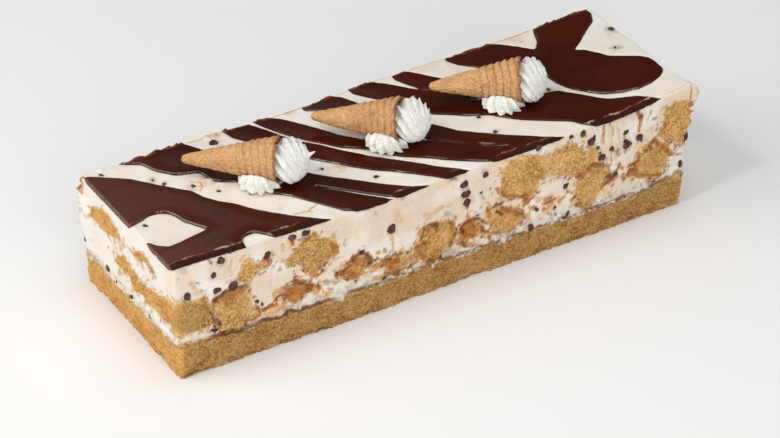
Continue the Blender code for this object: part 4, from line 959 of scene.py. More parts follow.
            (1.5, 0.7, 32, 18.4, 35, 18.2), (1.4, 0.8, 4.6, 47, 7, 43.6, 8, 41.4),
            (1.8, 0.7, 44.8, 60, 45.4, 50, 45, 46), (1.5, 0.6, 8.6, 31, 11, 27, 12, 24.6),
            (1.2, 0.4, -2, 24, 1, 23)],
        "deep": [
            (1.4, 0.4, 41.6, 42.4, 43.4, 41.4), (0.8, 0.5, -9, 21.4, -8, 20.6), (1.2, 0.25, 36, 28.6, 37, 28)],
    },
    "right": {
        "caramel": [
            (1.3, 0.8, 12, 39.6, 22, 41, 34, 38), (1.2, 0.6, -4, 43, 10, 41.6)],
        "cocoa": [
            (1.0, 0.7, -22, 36, -10, 38), (1.2, 0.8, -38, 17.6, 0, 17, 30, 17.6)],
        "crumb": [
            (1.6, 0.6, -30, 52, -24, 46)],
        "deep": [
            (1.2, 0.6, 32, 56, 34, 55)],
    },
    "back": {
        "cocoa": [
            (1.1, 0.9, -104, 40, -92, 43, -82, 40), (1.0, 0.9, -12, 36, -4, 37, 4, 34),
            (1.0, 0.8, 116, 38, 126, 39.6, 134, 36)],
        "caramel": [
            (1.5, 0.9, -66, 33, -56, 34, -48, 31), (1.5, 0.9, 26, 36, 38, 39, 48, 36),
            (1.3, 0.8, 72, 36, 81, 37.6, 90, 34), (1.3, 0.8, -42, 29.6, -30, 28.6, -20, 31),
            (1.2, 0.8, 2, 40, 14, 38, 26, 41), (1.0, 0.6, -106, 60, -106, 52), (1.1, 0.5, 24, 57, 25, 50)],
        "crumb": [
            (2.0, 0.5, -84, 55, -80, 50), (2.0, 0.5, 76, 58, 80, 52)],
        "deep": [
            (1.3, 0.5, -44, 55, -42, 54), (1.3, 0.5, 44, 52, 46, 51)],
        "knife": [
            (9, 0.8, -10, 54, -10, 46), (9, 0.8, 88, 56, 88, 48)],
    },
}
# marks on the top, by kind: x, y, reach, strength
topMarks = {
    "deep": [
        (-132.5, 41, 1.6, 0.8), (-114.5, 24.5, 1.8, 0.7), (-111.5, 18.8, 1.6, 0.5), (-101.5, 10, 2.2, 0.7),
        (-134, -7, 1.4, 0.6), (-76, 37, 2.4, 0.6), (-43, -6.5, 1.7, 0.6), (-24, -25.5, 1.5, 0.6),
        (43, -24, 1.8, 0.6), (43.5, -9, 2.0, 0.4), (85.5, -6.5, 2.4, 0.6), (137.5, 21.5, 3.0, 0.7),
        (130.5, 4.5, 2.6, 0.7), (-92.5, 7.5, 1.4, 0.5), (-93, 0.8, 1.3, 0.6), (-75.5, -26, 1.6, 0.3)],
    "caramel": [
        (-98, 9, 2.6, 0.5), (-84, 4, 4.5, 0.22), (-88, 2, 3.5, 0.2)],
    "crumb": [
        (-36, -10.5, 3.2, 0.5), (-73.5, 42, 3.0, 0.8), (-32, 43.8, 3.0, 0.6), (95, 43.8, 5, 0.5),
        (47, 43.8, 6, 0.3), (-95, 12, 3.2, 0.3)],
}
# low lumps where the nozzle dragged the top: x, y, breadth, height
topLumps = [
    (-97.5, 12.5, 3.4, 1.0), (-92.5, 9.5, 2.6, 0.9), (-99.5, 6.5, 2.2, 0.7), (-88, 5, 3.0, 0.6), (-82, 2, 3.5, 0.5),
    (-75, 42.5, 2.8, 1.3), (-36, -10.5, 2.6, 0.7), (-131, 43, 4.0, 0.8), (-78.5, -43.2, 1.5, 1.0),
]
# thin threads of caramel on the top: strength, then x and y of each point
threads = [
    (0.8, -73, -33.5, -66, -34.4, -64.5, -36), (0.85, -66, -34.8, -63.6, -33, -59.5, -31.2),
    (0.8, -101, 14, -97.5, 11, -98, 7.5, -100.5, 5), (0.6, -96, 13, -92, 10.5),
    (0.25, -80, -12, -72, -14, -62, -19), (0.8, -86, 43.6, -60, 43.9), (0.8, -50, 44, -22, 44.2),
    (0.7, -4, 44, 22, 44.2), (0.6, 36, 44, 66, 44.2), (0.8, 84, 44, 106, 44.2), (0.5, 126, -43.6, 137, -43.2),
    (1.0, -80, -43.9, -78, -42.6), (1.0, -78.6, -43.8, -76.8, -43.4), (0.5, -34, -12.5, -30, -9),
]


# in a side: place, height, breadth
frontChips = [
    (-134.4, 44.9, 4.2), (-120.4, 52.1, 3.0), (-118.9, 43.3, 3.8), (-116.6, 59, 4.2), (-111, 42.8, 4.6),
    (-93.4, 53.5, 4.0), (-80.2, 59.2, 3.9), (-73, 59.2, 3.8), (-99.3, 30, 2.2), (-121, 22.4, 4.6),
    (-27.5, 45.6, 4.5), (-32.4, 18.3, 3.5), (-1, 19.2, 2.7), (12.6, 55.6, 4.4), (13.4, 49.7, 4.6),
    (14.3, 44.6, 3.6), (24.4, 56.7, 2.6), (27.1, 48, 1.4), (50.5, 17.5, 3.9), (53.7, 27.4, 3.0), (54, 61.4, 3.0),
    (71.9, 60.8, 3.2), (79, 60.4, 3.4), (84, 54.2, 4.4), (87.6, 49.6, 2.5), (90.3, 43.5, 4.4), (95.9, 46.4, 2.6),
    (104, 52.8, 2.7), (105.1, 45.3, 4.6), (112, 46.7, 3.9), (70.1, 34.6, 3.0), (70.1, 18.4, 4.6), (98.6, 31.7, 3.2),
    (137.6, 23.5, 3.8), (-43.8, 38, 2.4), (103.5, 47.6, 1.8), (113, 44.6, 1.8), (85.4, 57, 1.6), (-111.5, 62, 1.6),
    (22, 47.6, 1.3), (-96.5, 27.5, 1.8), (64, 24.4, 1.6), (89, 46.4, 1.4), (-8.5, 34.8, 1.5), (31, 33, 1.4),
]
leftChips = [
    (-18, 19, 2.6), (0, 18.5, 3.0), (11, 18.8, 2.8), (14, 18.6, 2.4), (23.3, 20.8, 2.8), (44.5, 25, 3.6),
    (47, 27, 1.8), (1.6, 18.2, 1.8),
]
rightChips = [(-44.4, 37, 4.6), (-38, 33, 3.4), (-30, 44, 2.8), (-8, 58, 3.0), (12, 22, 3.4), (30, 46, 3.0),
              (38, 24, 2.6)]
# on the top: x, y, breadth, how deep it is sunk
topChips = [
    (-132.5, 41, 2.6, 0.75), (-114.5, 24.7, 2.6, 0.75), (-111.5, 18.8, 2.4, 0.7), (-101.5, 10.3, 3.2, 0.6),
    (-134, -7, 2.4, 0.75), (-76, 37.3, 4.0, 0.45), (-43, -6.5, 2.6, 0.7), (-24, -25.3, 2.4, 0.7),
    (43, -23.6, 2.6, 0.8), (43.2, -9, 2.4, 0.75), (85, -6.4, 3.6, 0.75), (137.8, 22, 4.0, 0.8),
    (129.6, 5.4, 3.4, 0.75), (-92.4, 7.6, 2.0, 0.7), (-93, 0.8, 2.2, 0.6), (-81, -8.6, 1.8, 0.7),
    (-97, 23.6, 1.8, 0.85),
]
# how strongly the cocoa round a chip stains the cream, and the chips strewn over the back
chipShape = {"halo": 0.32, "backCount": 22, "backBreadth": (2.2, 4.0), "backHeight": (19, 59)}


def pairs(numbers):
    return list(zip(numbers[::2], numbers[1::2]))


def toSegment(x, y, start, end):   # distance from each spot to a straight piece
    along = (end[0] - start[0], end[1] - start[1])
    share = np.clip(((x - start[0]) * along[0] + (y - start[1]) * along[1])
                    / max(along[0] ** 2 + along[1] ** 2, 0.0001), 0, 1)
    return np.hypot(x - start[0] - share * along[0], y - start[1] - share * along[1])


def paint(kind, s, z):   # how strongly a kind of stain colours each spot of the sides
    total = np.zeros(len(s))
    spot = flatSpots(s, z)
    wander = 0.35 * roughNoise(spot, 1.6, 103, 2)
    s = np.mod(s, outline) + 0.6 * softNoise(spot, 3.2, 101)
    z = z + 0.5 * softNoise(spot, 3.0, 102)
    for side, kinds in strokes.items():
        for breadth, strength, *line in kinds.get(kind, []):
            line = [(sidePlace(side, place), height) for place, height in pairs(line)]
            places = [place for place, _ in line]
            near = np.nonzero((s > min(places) - 2 * breadth - 1) & (s < max(places) + 2 * breadth + 1))[0]
            if len(near):
                away = np.min([toSegment(s[near], z[near], a, b) for a, b in zip(line, line[1:])], axis=0)
                value = strength * ease((1.3 + wander[near] - away / breadth) / 0.75)
                total[near] = np.maximum(total[near], value)
    if kind == "cocoa":
        for place, height, breadth in frontChips:
            away = np.hypot(s - sidePlace("front", place), z - height + 0.25 * breadth)
            total = np.maximum(total, chipShape["halo"] * ease((0.62 * breadth * (1 + wander) + 0.3 - away) / 0.8))
    return total


def insideOutline(corners, s, z):   # distance inside a closed outline, below zero outside
    nearest, inside = np.full(len(s), 99.0), np.zeros(len(s), bool)
    for start, end in zip(corners, np.roll(corners, -1, axis=0)):
        nearest = np.minimum(nearest, toSegment(s, z, start, end))
        rise = end[1] - start[1]
        if rise:
            inside ^= ((start[1] > z) != (end[1] > z)) & (s < start[0] + (end[0] - start[0]) * (z - start[1]) / rise)
    return np.where(inside, nearest, -nearest)


outlinesRound = [np.array([(sidePlace(side, place), height) for place, height in pairs(corners)])
                 for side, rows in spongeOutlines.items() for corners in rows]
edgeRound = np.array(sorted([(sidePlace(side, place), height, brown) for side, rows in baseEdge.items()
                             for place, height, brown in rows]))


def baseTop(s, spot):   # height of the base's upper edge round the block, and its brownness
    s = np.mod(s, outline)
    behind = s > rightStart
    height, brown = np.interp(s, edgeRound[:, 0], edgeRound[:, 1]), np.interp(s, edgeRound[:, 0], edgeRound[:, 2])
    height = np.where(behind, baseShape["backEdge"] + 0.9 * softNoise(spot * [1, 0, 0], 9.0, 63), height)
    brown = np.where(behind, ease(0.5 + softNoise(spot * [1, 0, 0], 14.0, 64)), brown)
    return height + 0.45 * roughNoise(spot, 1.8, 65, 2), brown


def breadAt(s, z):   # from 0 in cream to 1 in sponge, with ragged edges; then the brown and orange of its edges
    s = np.mod(s, outline)
    spot = flatSpots(s, z)
    field = np.full(len(s), -9.0)
    for corners in outlinesRound:
        near = (s > corners[:, 0].min() - 4) & (s < corners[:, 0].max() + 4)
        field[near] = np.maximum(field[near], insideOutline(corners, s[near], z[near]))
    behind = s > rightStart + 1
    for lumps in chunks:
        near = behind & (np.abs(s - lumps[0]["s"]) < lumps[0]["half"] + 9)
        if near.any():
            field[near] = np.maximum(field[near], sidesDistance(lumps, s[near], z[near])[0] - 0.8)
    field[behind] += 4.6 * roughNoise(spot[behind] * [1, 1.2, 1], 8.0, 68, 3)
    field += 0.85 * roughNoise(spot, 2.4, 61, 3)
    top, brown = baseTop(s, spot)
    bread = np.maximum(ease(field / 1.1 + 0.5), ease((top - z) / 0.6 + 0.5))
    loose = 0.85 * ease((roughNoise(spot, 1.5, 67, 2) - 0.3 + 0.09 * field) / 0.16)
    bread = np.maximum(bread, np.where((field > -4) & (z < 58), loose, 0))
    thick = 1.5 + 1.2 * brown + 0.8 * softNoise(spot, 3.0, 66)
    band = brown * ease((z - top + thick) / 1.2) * ease((top + 0.9 - z) / 0.5)
    edge = ease((2.2 - np.abs(field + 0.5)) / 1.4) * ease((43 - z) / 5) * ease((z - top + 1) / 2)
    edge *= np.where(behind, 0.8, ease((s - frontStart - 18) / 10))
    orange = 0.9 * edge * ease(1.6 * roughNoise(spot, 5.5, 69, 3) - 0.05)
    brown = edge * ease(2.6 * roughNoise(spot, 2.2, 70, 3) - 0.75)
    return bread, np.maximum(band, brown), orange


def paintTop(kind, x, y):
    total = np.zeros(len(x))
    warp = 1 + 0.5 * softNoise(flatSpots(x, y), 2.2, 33)
    for px, py, reach, strength in topMarks.get(kind, []):
        total = np.maximum(total, strength * np.exp(-(np.hypot(x - px, y - py) * warp / reach) ** 2))
    if kind == "caramel":
        for strength, *line in threads:
            line = pairs(line)
            for start, end in zip(line, line[1:]):
                total = np.maximum(total, strength * np.exp(-(toSegment(x, y, start, end) / 0.55) ** 2))
    return total


def chunkRows():
    rows = [[lumpRow("left", -16, 33.5, 31, 8.5, 0, 10), lumpRow("front", -132, 33, 11, 9.5, 0, 9)]]
    for side, chunks in (("front", frontChunks), ("back", backChunks), ("left", leftChunks), ("right", rightChunks)):
        for place, z, width, height, turn, *soaked in chunks:
            depth = min(chunkShape["depth"], width / 2 - 0.2)
            rows.append([lumpRow(side, place, z, width / 2, height / 2, turn, depth)])
            rows[-1][0]["soaked"] = soaked[0] if soaked else 0.15
    return rows


chunks = chunkRows()


def sidesDistance(lumps, s, z):
    found = [lumpField(lump, s, z) for lump in lumps]
    return np.max([inside for inside, _ in found], axis=0), np.min([share for _, share in found], axis=0)


def ragged(s, z, seed):
    spot = flatSpots(s, z)
    return 0.4 + 1.0 * softNoise(spot, 3.6, seed) + 0.55 * softNoise(spot, 1.5, seed + 1)


def chunkDepth(lumps, share):   # how deep the lump goes in behind the side
    depth = max(lump["depth"] for lump in lumps)
    return chunkShape["inset"] + (depth - chunkShape["inset"]) * np.maximum(0, 1 - np.minimum(share, 1) ** 3) ** (1 / 3)


def clearOfOthers(index, s, z, distance):
    for before in range(index):
        other, mine = chunks[before], chunks[index]
        if any(abs(wayRound(a["s"], b["s"])) < a["half"] + b["half"] + 6 for a in other for b in mine):
            taken = sidesDistance(other, s, z)[0]
            distance = np.minimum(distance, -taken - cake["gap"])
    return distance


def creamRelief(around, z, surface):   # how far in the cream's sides lie, and how curdled they are
    curd = ease((creamShape["curdTop"] + 2.5 * softNoise(surface, 8.0, 12) - z) / 4.0)
    rough = 0.22 * softNoise(surface, 9.0, 4) + 0.10 * softNoise(surface, 3.0, 5)
    rough += curd * (creamShape["curdDepth"] * roughNoise(surface, 2.4, 6, 3) - 0.25)
    rough += 0.35 * ease((cake["baseHeight"] + 1.2 - z) / 1.2)
    streaks = np.maximum(0, softNoise(surface * [1, 1, 0.08], 1.7, 9))
    rough += paint("knife", around, z) * creamShape["knifeDepth"] * streaks
    for side, place, height, reachS, reachZ, amount in bulges:
        hump = np.exp(-(wayRound(around, sidePlace(side, place)) / reachS) ** 2 - ((z - height) / reachZ) ** 2)
        if side == "right":
            hump *= ease((around - rightStart - 0.2) / 1.6)
        rough -= amount * hump * (1 + 0.5 * roughNoise(surface, 3.0, 14, 2))
    corner = wayRound(around, 0.0)   # the back left corner is torn
    tear = np.exp(-(corner / 4.5) ** 2) * ease((z - 30) / 4) * creamShape["tear"]
    rough -= tear * np.maximum(0, roughNoise(surface, 3.2, 16, 3) - 0.05)
    return rough, curd


def creamBeige(surface, curd):   # the front is the warmest side
    front = np.clip(-surface[:, 1] / 10 - 3.4, 0, 1)
    return (0.15 + 0.75 * front * ease(0.7 + softNoise(surface, 9.0, 15))) * (1 - 0.8 * curd)


def makeChunk(index, lumps):
    margin = chunkShape["margin"]
    longest = max(math.hypot(lump["half"], lump["high"]) for lump in lumps)
    reaches = [(lump["s"], max(lump["half"], lump["high"]) * 1.1) for lump in lumps]
    lowZ = max(cake["baseHeight"] + 0.5, min(lump["z"] for lump in lumps) - longest - margin)
    highZ = min(cake["creamTop"] - 0.6, max(lump["z"] for lump in lumps) + longest + margin)
    us = np.arange(min(s - reach - margin for s, reach in reaches), max(s + reach + margin for s, reach in reaches),
                   chunkShape["step"])
    vs = np.arange(lowZ, highZ, chunkShape["step"])
    gu, gv = np.meshgrid(us, vs, indexing="ij")
    s, z = gu.ravel(), gv.ravel()
    distance, share = sidesDistance(lumps, s, z)
    distance = clearOfOthers(index, s, z, distance) + ragged(s, z, 60)
    distance = np.minimum(distance, np.minimum(z - lowZ, highZ - z) - 0.2).reshape(gu.shape)
    flat, faces, rims, (inside, out) = traceField(distance, us, vs, [distance, share.reshape(gu.shape)])
    s, z = flat.T
    inside = np.maximum(inside, 0)
    surface = sideSpots(s, z, np.zeros(len(s)))
    pores = ease((0.52 - poreNoise(surface, 2.3, 8)) / 0.4) * 0.75
    crumbled = chunkShape["crumbled"] * ease((s - rightStart + 1) / 2) * ease((rightStart + 9 - s) / 5)
    crumbs = 0.3 * roughNoise(surface, 1.5, 21, 2) - crumbled * (0.45 + roughNoise(surface, 2.2, 22, 3))
    bread, band, orange = breadAt(s, z)
    relief, curd = creamRelief(s, z, surface)
    middle = ease((inside - 0.9) / 1.2)
    torn = (pores * ease((inside - 1.6) / 1.0) + crumbs) * middle - 0.12 * middle - chunkShape["proud"]
    inward = relief - 0.1 + (torn - relief + 0.1) * bread
    inward += (chunkShape["sunk"] + chunkShape["proud"]) * (1 - ease(inside / chunkShape["lap"]))
    deep = np.maximum(inward + 0.25, chunkDepth(lumps, out))
    allPoints, allFaces, source = platePoints(faces, rims, sideSpots(s, z, inward), sideSpots(s, z, deep), 2)
    spot = flatSpots(s, z)
    soaked = lumps[0].get("soaked", 0.0) * ease(0.6 + 0.8 * softNoise(spot, 4.0, 72))
    behind = np.mod(s, outline) > rightStart
    rind = behind * ease(1.5 * softNoise(spot, 7.0, 73)) * ease((2.2 - inside) / 1.5)
    # the last mark carries the strokes' painted shade onto the chunk
    marks = {"film": np.maximum(1 - bread, paint("cream", s, z)), "beige": creamBeige(surface, curd),
             "caramel": np.maximum.reduce([soaked, rind, orange, paint("caramel", s, z)]),
             "cocoa": np.maximum(band, paint("cocoa", s, z)), "paintedShade": paint("paintedShade", s, z)}
    marks = {name: values[source] for name, values in marks.items()}
    return makePiece(f"chunk{index + 1:02d}", settle(allPoints), allFaces, sponge, marks)


chunkPieces = [finishPiece(makeChunk(index, lumps), "sponge", f"sponge_chunk_{index + 1:02d}")
               for index, lumps in enumerate(chunks)]
print("sponge chunks are torn")


# cream block

def topHeight(x, y):   # the cream's top, which dips under the stripes
    field = atTop(anyStripe, x, y)
    spot = flatSpots(x, y)
    height = cake["creamTop"] + creamLevel(x, y) - 0.16 * ease(field + 1.0)
    height = height + (0.25 * softNoise(spot, 16.0, 2) + 0.12 * softNoise(spot, 5.0, 3)) * ease(-field / 1.5)
    for middleX, middleY, reach, high in topLumps:
        away = np.hypot(x - middleX, y - middleY) / reach
        lump = high * np.exp(-away ** 2) * (0.8 + 1.2 * roughNoise(spot, 2.2, 41, 2))
        height = height + lump * ease((-field - 0.3) / 1.2)
    return np.where(field > 0, bedHeight(field, x, y) - 0.07, height)


def makeCream():
    rows = creamShape["rows"]
    s, faces, inner = gridBlock(creamShape["countX"], creamShape["countY"], rows, True)
    ring, low = len(s), cake["baseHeight"] + cake["gap"]
    topZ = topHeight(*alongSides(s).T)
    share = np.arange(rows + 1)[:, None] / rows
    z = (low + (topZ - low) * share).ravel()
    around = np.tile(s, rows + 1)
    inward = np.zeros(len(z))
    for index, lumps in enumerate(chunks):   # a pocket for each sponge chunk
        distance, out = sidesDistance(lumps, around, z)
        distance = clearOfOthers(index, around, z, distance) + ragged(around, z, 60)
        distance = distance - chunkShape["lap"] - 0.7
        pocket = (chunkDepth(lumps, out) + 0.35) * ease(distance / 0.4)
        inward = np.maximum(inward, np.where(distance > 0, pocket, 0))
    surface = sideSpots(around, z, np.zeros(len(z)))
    rough, curd = creamRelief(around, z, surface)
    rough += 0.5 * ease((share.repeat(ring, axis=1).ravel() - 0.985) / 0.015)
    sides = sideSpots(around, z, np.where(inward > 0.01, inward, rough))
    points = settle(np.concatenate([sides, np.column_stack([inner, topHeight(*inner.T)])]))
    bread, band, orange = breadAt(around, z)
    bread *= ease((topZ[np.arange(len(z)) % ring] - z) / 0.8)
    painted = {"beige": np.concatenate([creamBeige(surface, curd), np.full(len(inner), 0.08)]),
               "curd": np.concatenate([curd, np.zeros(len(inner))])}
    for kind, least in (("cocoa", band), ("caramel", orange), ("deep", 0), ("knife", 0), ("crumb", bread)):
        painted[kind] = np.concatenate([np.maximum(paint(kind, around, z), least), paintTop(kind, *inner.T)])
    return makePiece("creamBlock", points, faces, cream, painted)


finishPiece(makeCream(), "cream", "cream_body")
print("cream is laid")


# sponge base

def makeBase():
    s, faces, _ = gridBlock(baseShape["countX"], baseShape["countY"], baseShape["rows"], False)
    rows = baseShape["rows"]
    share = (np.arange(rows + 1)[:, None] / rows + 0 * s).ravel()
    around = np.tile(s, rows + 1)
    z = cake["baseHeight"] * share
    surface = sideSpots(around, z, np.zeros(len(z)))
    inward = baseShape["slant"] * (1 - share) + baseShape["dent"] * softNoise(surface, baseShape["dentReach"], 1)
    inward += baseShape["crumbs"] * roughNoise(surface, 1.5, 22, 2)
    inward += baseShape["pores"] * ease((0.5 - poreNoise(surface, 2.0, 9)) / 0.4)
    inward += baseShape["foot"] * np.maximum(0, roughNoise(surface, 2.6, 23, 2)) * ease((1.6 - z) / 1.6)
    inward += baseShape["brow"] * np.maximum(0, roughNoise(surface, 2.4, 24, 2)) * ease((z - 15.5) / 1.0)
    nibbles = baseShape["nibble"] * np.maximum(0, roughNoise(surface, 4.0, 26, 3) - 0.1)
    nibbles = nibbles * ease((3.2 - z) / 2.2)
    inward += nibbles * ease(z / 0.3) + 0.5 * nibbles
    points = settle(sideSpots(around, z, inward))
    onFront = ease((around - frontStart - 1) / 3) * ease((rightStart + 2 - around) / 6)
    bread, band = breadAt(around, z)[:2]
    cocoa = np.maximum(band, paint("cocoa", around, z))
    caramel = 0.25 * ease(softNoise(surface, 9.0, 27) * 1.5 - 0.4)
    caramel = np.maximum(caramel, paint("caramel", around, z))
    edge = baseTop(around, flatSpots(around, z))[0]
    fleck = ease((z - edge + 2.6) / 1.6) * ease((roughNoise(surface, 1.5, 28, 3) - 0.16) / 0.12)
    film = np.maximum(np.where(z > 9, 1 - bread, 0), fleck * ease((z - 9) / 2))
    # painted shade over the base's front, below its upper edge
    paintedShade = onFront * ease((17.5 - z) / 3)
    return makePiece("baseSponge", points, faces, sponge,
                     {"cocoa": cocoa, "caramel": caramel, "film": film, "paintedShade": paintedShade})


basePiece = finishPiece(makeBase(), "sponge", "sponge_base")
print("sponge base is cut")


# crumbs, by a node tree that scatters them over a sponge surface

def openTree(name, start, settings):   # a node group with one geometry and named settings going in
    tree = bpy.data.node_groups.new(name, "GeometryNodeTree")
    tree.interface.new_socket(start, in_out="INPUT", socket_type="NodeSocketGeometry")
    kinds = {float: "NodeSocketFloat", int: "NodeSocketInt", type(None): "NodeSocketMaterial"}
    for setting, value in settings.items():
        socket = tree.interface.new_socket(setting, in_out="INPUT", socket_type=kinds[type(value)])
        if value is not None:
            socket.default_value = value
    tree.interface.new_socket("Result", in_out="OUTPUT", socket_type="NodeSocketGeometry")
    source = tree.nodes.new("NodeGroupInput")
    return tree, {socket.name: Wire(tree, socket) for socket in source.outputs if socket.name}


def closeTree(tree, geometry, finish):
    real = put(tree, "GeometryNodeRealizeInstances", None, {"Geometry": geometry})
    done = put(tree, "GeometryNodeSetMaterial", None, {"Geometry": real, "Material": finish})
    sink = tree.nodes.new("NodeGroupOutput")
    tree.links.new(done.socket, sink.inputs[0])
    return tree


def scatterTree():
    tree, given = openTree("crumbScatter", "Sponge", {
        "Density": 500000.0, "Smallest": 0.0002, "Largest": 0.0005, "Seed": 3, "Finish": None})
    bare = put(tree, "GeometryNodeInputNamedAttribute", {"data_type": "FLOAT"}, {"Name": "open"})
    points = put(tree, "GeometryNodeDistributePointsOnFaces", {"distribute_method": "RANDOM"},
                 {"Mesh": given["Sponge"], "Density": given["Density"] * bare, "Seed": given["Seed"]})
    ball = put(tree, "GeometryNodeMeshIcoSphere", None, {"Radius": 1.0, "Subdivisions": 1})
    size = put(tree, "FunctionNodeRandomValue", {"data_type": "FLOAT"},
               {2: given["Smallest"], 3: given["Largest"], "Seed": given["Seed"]}, output=1)
    squash = put(tree, "FunctionNodeRandomValue", {"data_type": "FLOAT_VECTOR"},
                 {0: (0.7, 0.6, 0.5), 1: (1.4, 1.2, 1.0), "Seed": 5})
    scale = put(tree, "ShaderNodeVectorMath", {"operation": "SCALE"}, {0: squash, "Scale": size})
    turn = put(tree, "FunctionNodeRandomValue", {"data_type": "FLOAT_VECTOR"},
               {0: (0.0, 0.0, 0.0), 1: (6.28, 6.28, 6.28), "Seed": 9})
    laid = put(tree, "GeometryNodeInstanceOnPoints", None,
               {"Points": points, "Instance": ball, "Rotation": turn, "Scale": scale})
    return closeTree(tree, laid, given["Finish"])


def runTree(name, mesh, tree, values):   # a mesh put through a node group becomes a piece of its own
    helper = addObject(name + "Source", mesh)
    modifier = helper.modifiers.new("nodes", "NODES")
    modifier.node_group = tree
    for item in tree.interface.items_tree:
        if item.item_type == "SOCKET" and item.in_out == "INPUT" and item.name in values:
            modifier[item.identifier] = values[item.name]
    helper.update_tag()
    bpy.context.view_layer.update()
    graph = bpy.context.evaluated_depsgraph_get()
    made = bpy.data.meshes.new_from_object(helper.evaluated_get(graph))
    made.name = name
    bpy.data.objects.remove(helper)
    return addObject(name, made)


crumbs = scatterTree()
crumbSizes = {
    "base": {"Density": 720000.0, "Smallest": 0.00024, "Largest": 0.0007, "Seed": 4, "Finish": sponge},
    "chunks": {"Density": 520000.0, "Smallest": 0.0002, "Largest": 0.00056, "Seed": 8, "Finish": sponge},
    "chunkRim": (halfLength - 4, halfWidth - 3.5),   # the chunks' crumbs lie outside these distances
    "chunkShare": 0.8,
}


def scatterCrumbs(name, mesh, rule, values):   # the rule says where the sponge lies open
    setMark(mesh, "open", rule(readPoints(mesh) / mm, readPoints(mesh, "normal")))
    return finishPiece(runTree(name, mesh, crumbs, values), "sponge")


def baseOpen(points, normals):
    upright = np.abs(normals[:, 2]) < 0.8
    low = ease((15.5 - points[:, 2]) / 1.5)
    return (upright * low * (0.55 + 0.45 * softNoise(points, 4.0, 50))).clip(0, 1)


def chunkOpen(points, normals):
    rimX, rimY = crumbSizes["chunkRim"]
    return ease(np.maximum(np.abs(points[:, 0]) - rimX, np.abs(points[:, 1]) - rimY)) * crumbSizes["chunkShare"]


baseCrumbs = scatterCrumbs("baseCrumbs", basePiece.data.copy(), baseOpen, crumbSizes["base"])
joined = bmesh.new()
for piece in chunkPieces:
    joined.from_mesh(piece.data)
chunkCopy = bpy.data.meshes.new("chunkCopy")
joined.to_mesh(chunkCopy)
joined.free()
chunkCrumbs = scatterCrumbs("chunkCrumbs", chunkCopy, chunkOpen, crumbSizes["chunks"])
print("crumbs:", len(baseCrumbs.data.polygons), len(chunkCrumbs.data.polygons))


# chocolate chips

def chipTree():
    tree, given = openTree("chipLayout", "Spots", {"Thickness": 0.42, "Roughness": 0.0005, "Finish": None})
    breadth = put(tree, "GeometryNodeInputNamedAttribute", {"data_type": "FLOAT"}, {"Name": "breadth"})
    turn = put(tree, "GeometryNodeInputNamedAttribute", {"data_type": "FLOAT_VECTOR"}, {"Name": "turn"})
    ball = put(tree, "GeometryNodeMeshIcoSphere", None, {"Radius": 0.5, "Subdivisions": 4})
    flat = put(tree, "ShaderNodeCombineXYZ", None, {0: breadth, 1: breadth, 2: breadth * given["Thickness"]})
    laid = put(tree, "GeometryNodeInstanceOnPoints", None,
               {"Points": given["Spots"], "Instance": ball, "Rotation": turn, "Scale": flat})
    real = put(tree, "GeometryNodeRealizeInstances", None, {"Geometry": laid})
    lumps = put(tree, "ShaderNodeTexNoise", None, {"Scale": 300.0, "Detail": 2.0}, output=1)
    centred = put(tree, "ShaderNodeVectorMath", {"operation": "SUBTRACT"}, {0: lumps, 1: (0.5, 0.5, 0.5)})
    offset = put(tree, "ShaderNodeVectorMath", {"operation": "SCALE"}, {0: centred, "Scale": given["Roughness"] * 4})
    moved = put(tree, "GeometryNodeSetPosition", None, {"Geometry": real, "Offset": offset})
    smooth = put(tree, "GeometryNodeSetShadeSmooth", None, {"Geometry": moved})
    return closeTree(tree, smooth, given["Finish"])


def makeChips():
    draw = random.Random(12)
    rows = [(sidePlace(side, place), z, breadth * 0.06, breadth * 1.12) for side, chips in
            (("front", frontChips), ("left", leftChips), ("right", rightChips)) for place, z, breadth in chips]
    for index in range(chipShape["backCount"]):
        place = -132 + 264 * (index + draw.random()) / chipShape["backCount"]
        breadth = draw.uniform(*chipShape["backBreadth"])
        rows.append((sidePlace("back", place), draw.uniform(*chipShape["backHeight"]), breadth * 0.2, breadth))
    s, z, inward, breadths = np.array(rows).T
    points = settle(sideSpots(s, z, inward))
    turns = []
    for direction in settle(sideSpots(s, z, inward - 1.0)) - points:
        spin = Matrix.Rotation(draw.uniform(0, 6.28), 3, "Z")
        turns.append((Vector(direction).to_track_quat("Z", "Y") @ spin.to_quaternion()).to_euler())
    turns += [Matrix.Rotation(draw.uniform(0, 6.28), 3, "Z").to_euler() for _ in topChips]
    onTop = [(x, y, cake["creamTop"] + breadth * 0.21 * (1 - 2 * sunk) + creamLevel(x, y))
             for x, y, breadth, sunk in topChips]
    points = np.concatenate([points, settle(np.array(onTop))])
    mesh = bpy.data.meshes.new("chipSpots")
    mesh.from_pydata(placed(points).tolist(), [], [])
    setMark(mesh, "breadth", np.concatenate([breadths, [breadth for _, _, breadth, _ in topChips]]) * mm)
    setMark(mesh, "turn", [list(turn) for turn in turns], "FLOAT_VECTOR")
    return runTree("chips", mesh, chipTree(), {"Finish": chipMaterial})


chipPiece = finishPiece(makeChips(), "chocolate")
print("chips:", len(chipPiece.data.polygons))


# waffle cones, rosettes and dollops

coneShape = {"radius": 11.1, "recess": 7.0, "clearance": 0.6, "tip": 1.6, "ripple": 0.62, "pitch": 3.5,
             "around": 176, "along": 120, "roll": 0.75, "step": 1.6, "rim": (0.7, 0.8), "rough": 0.26, "pores": 0.35}
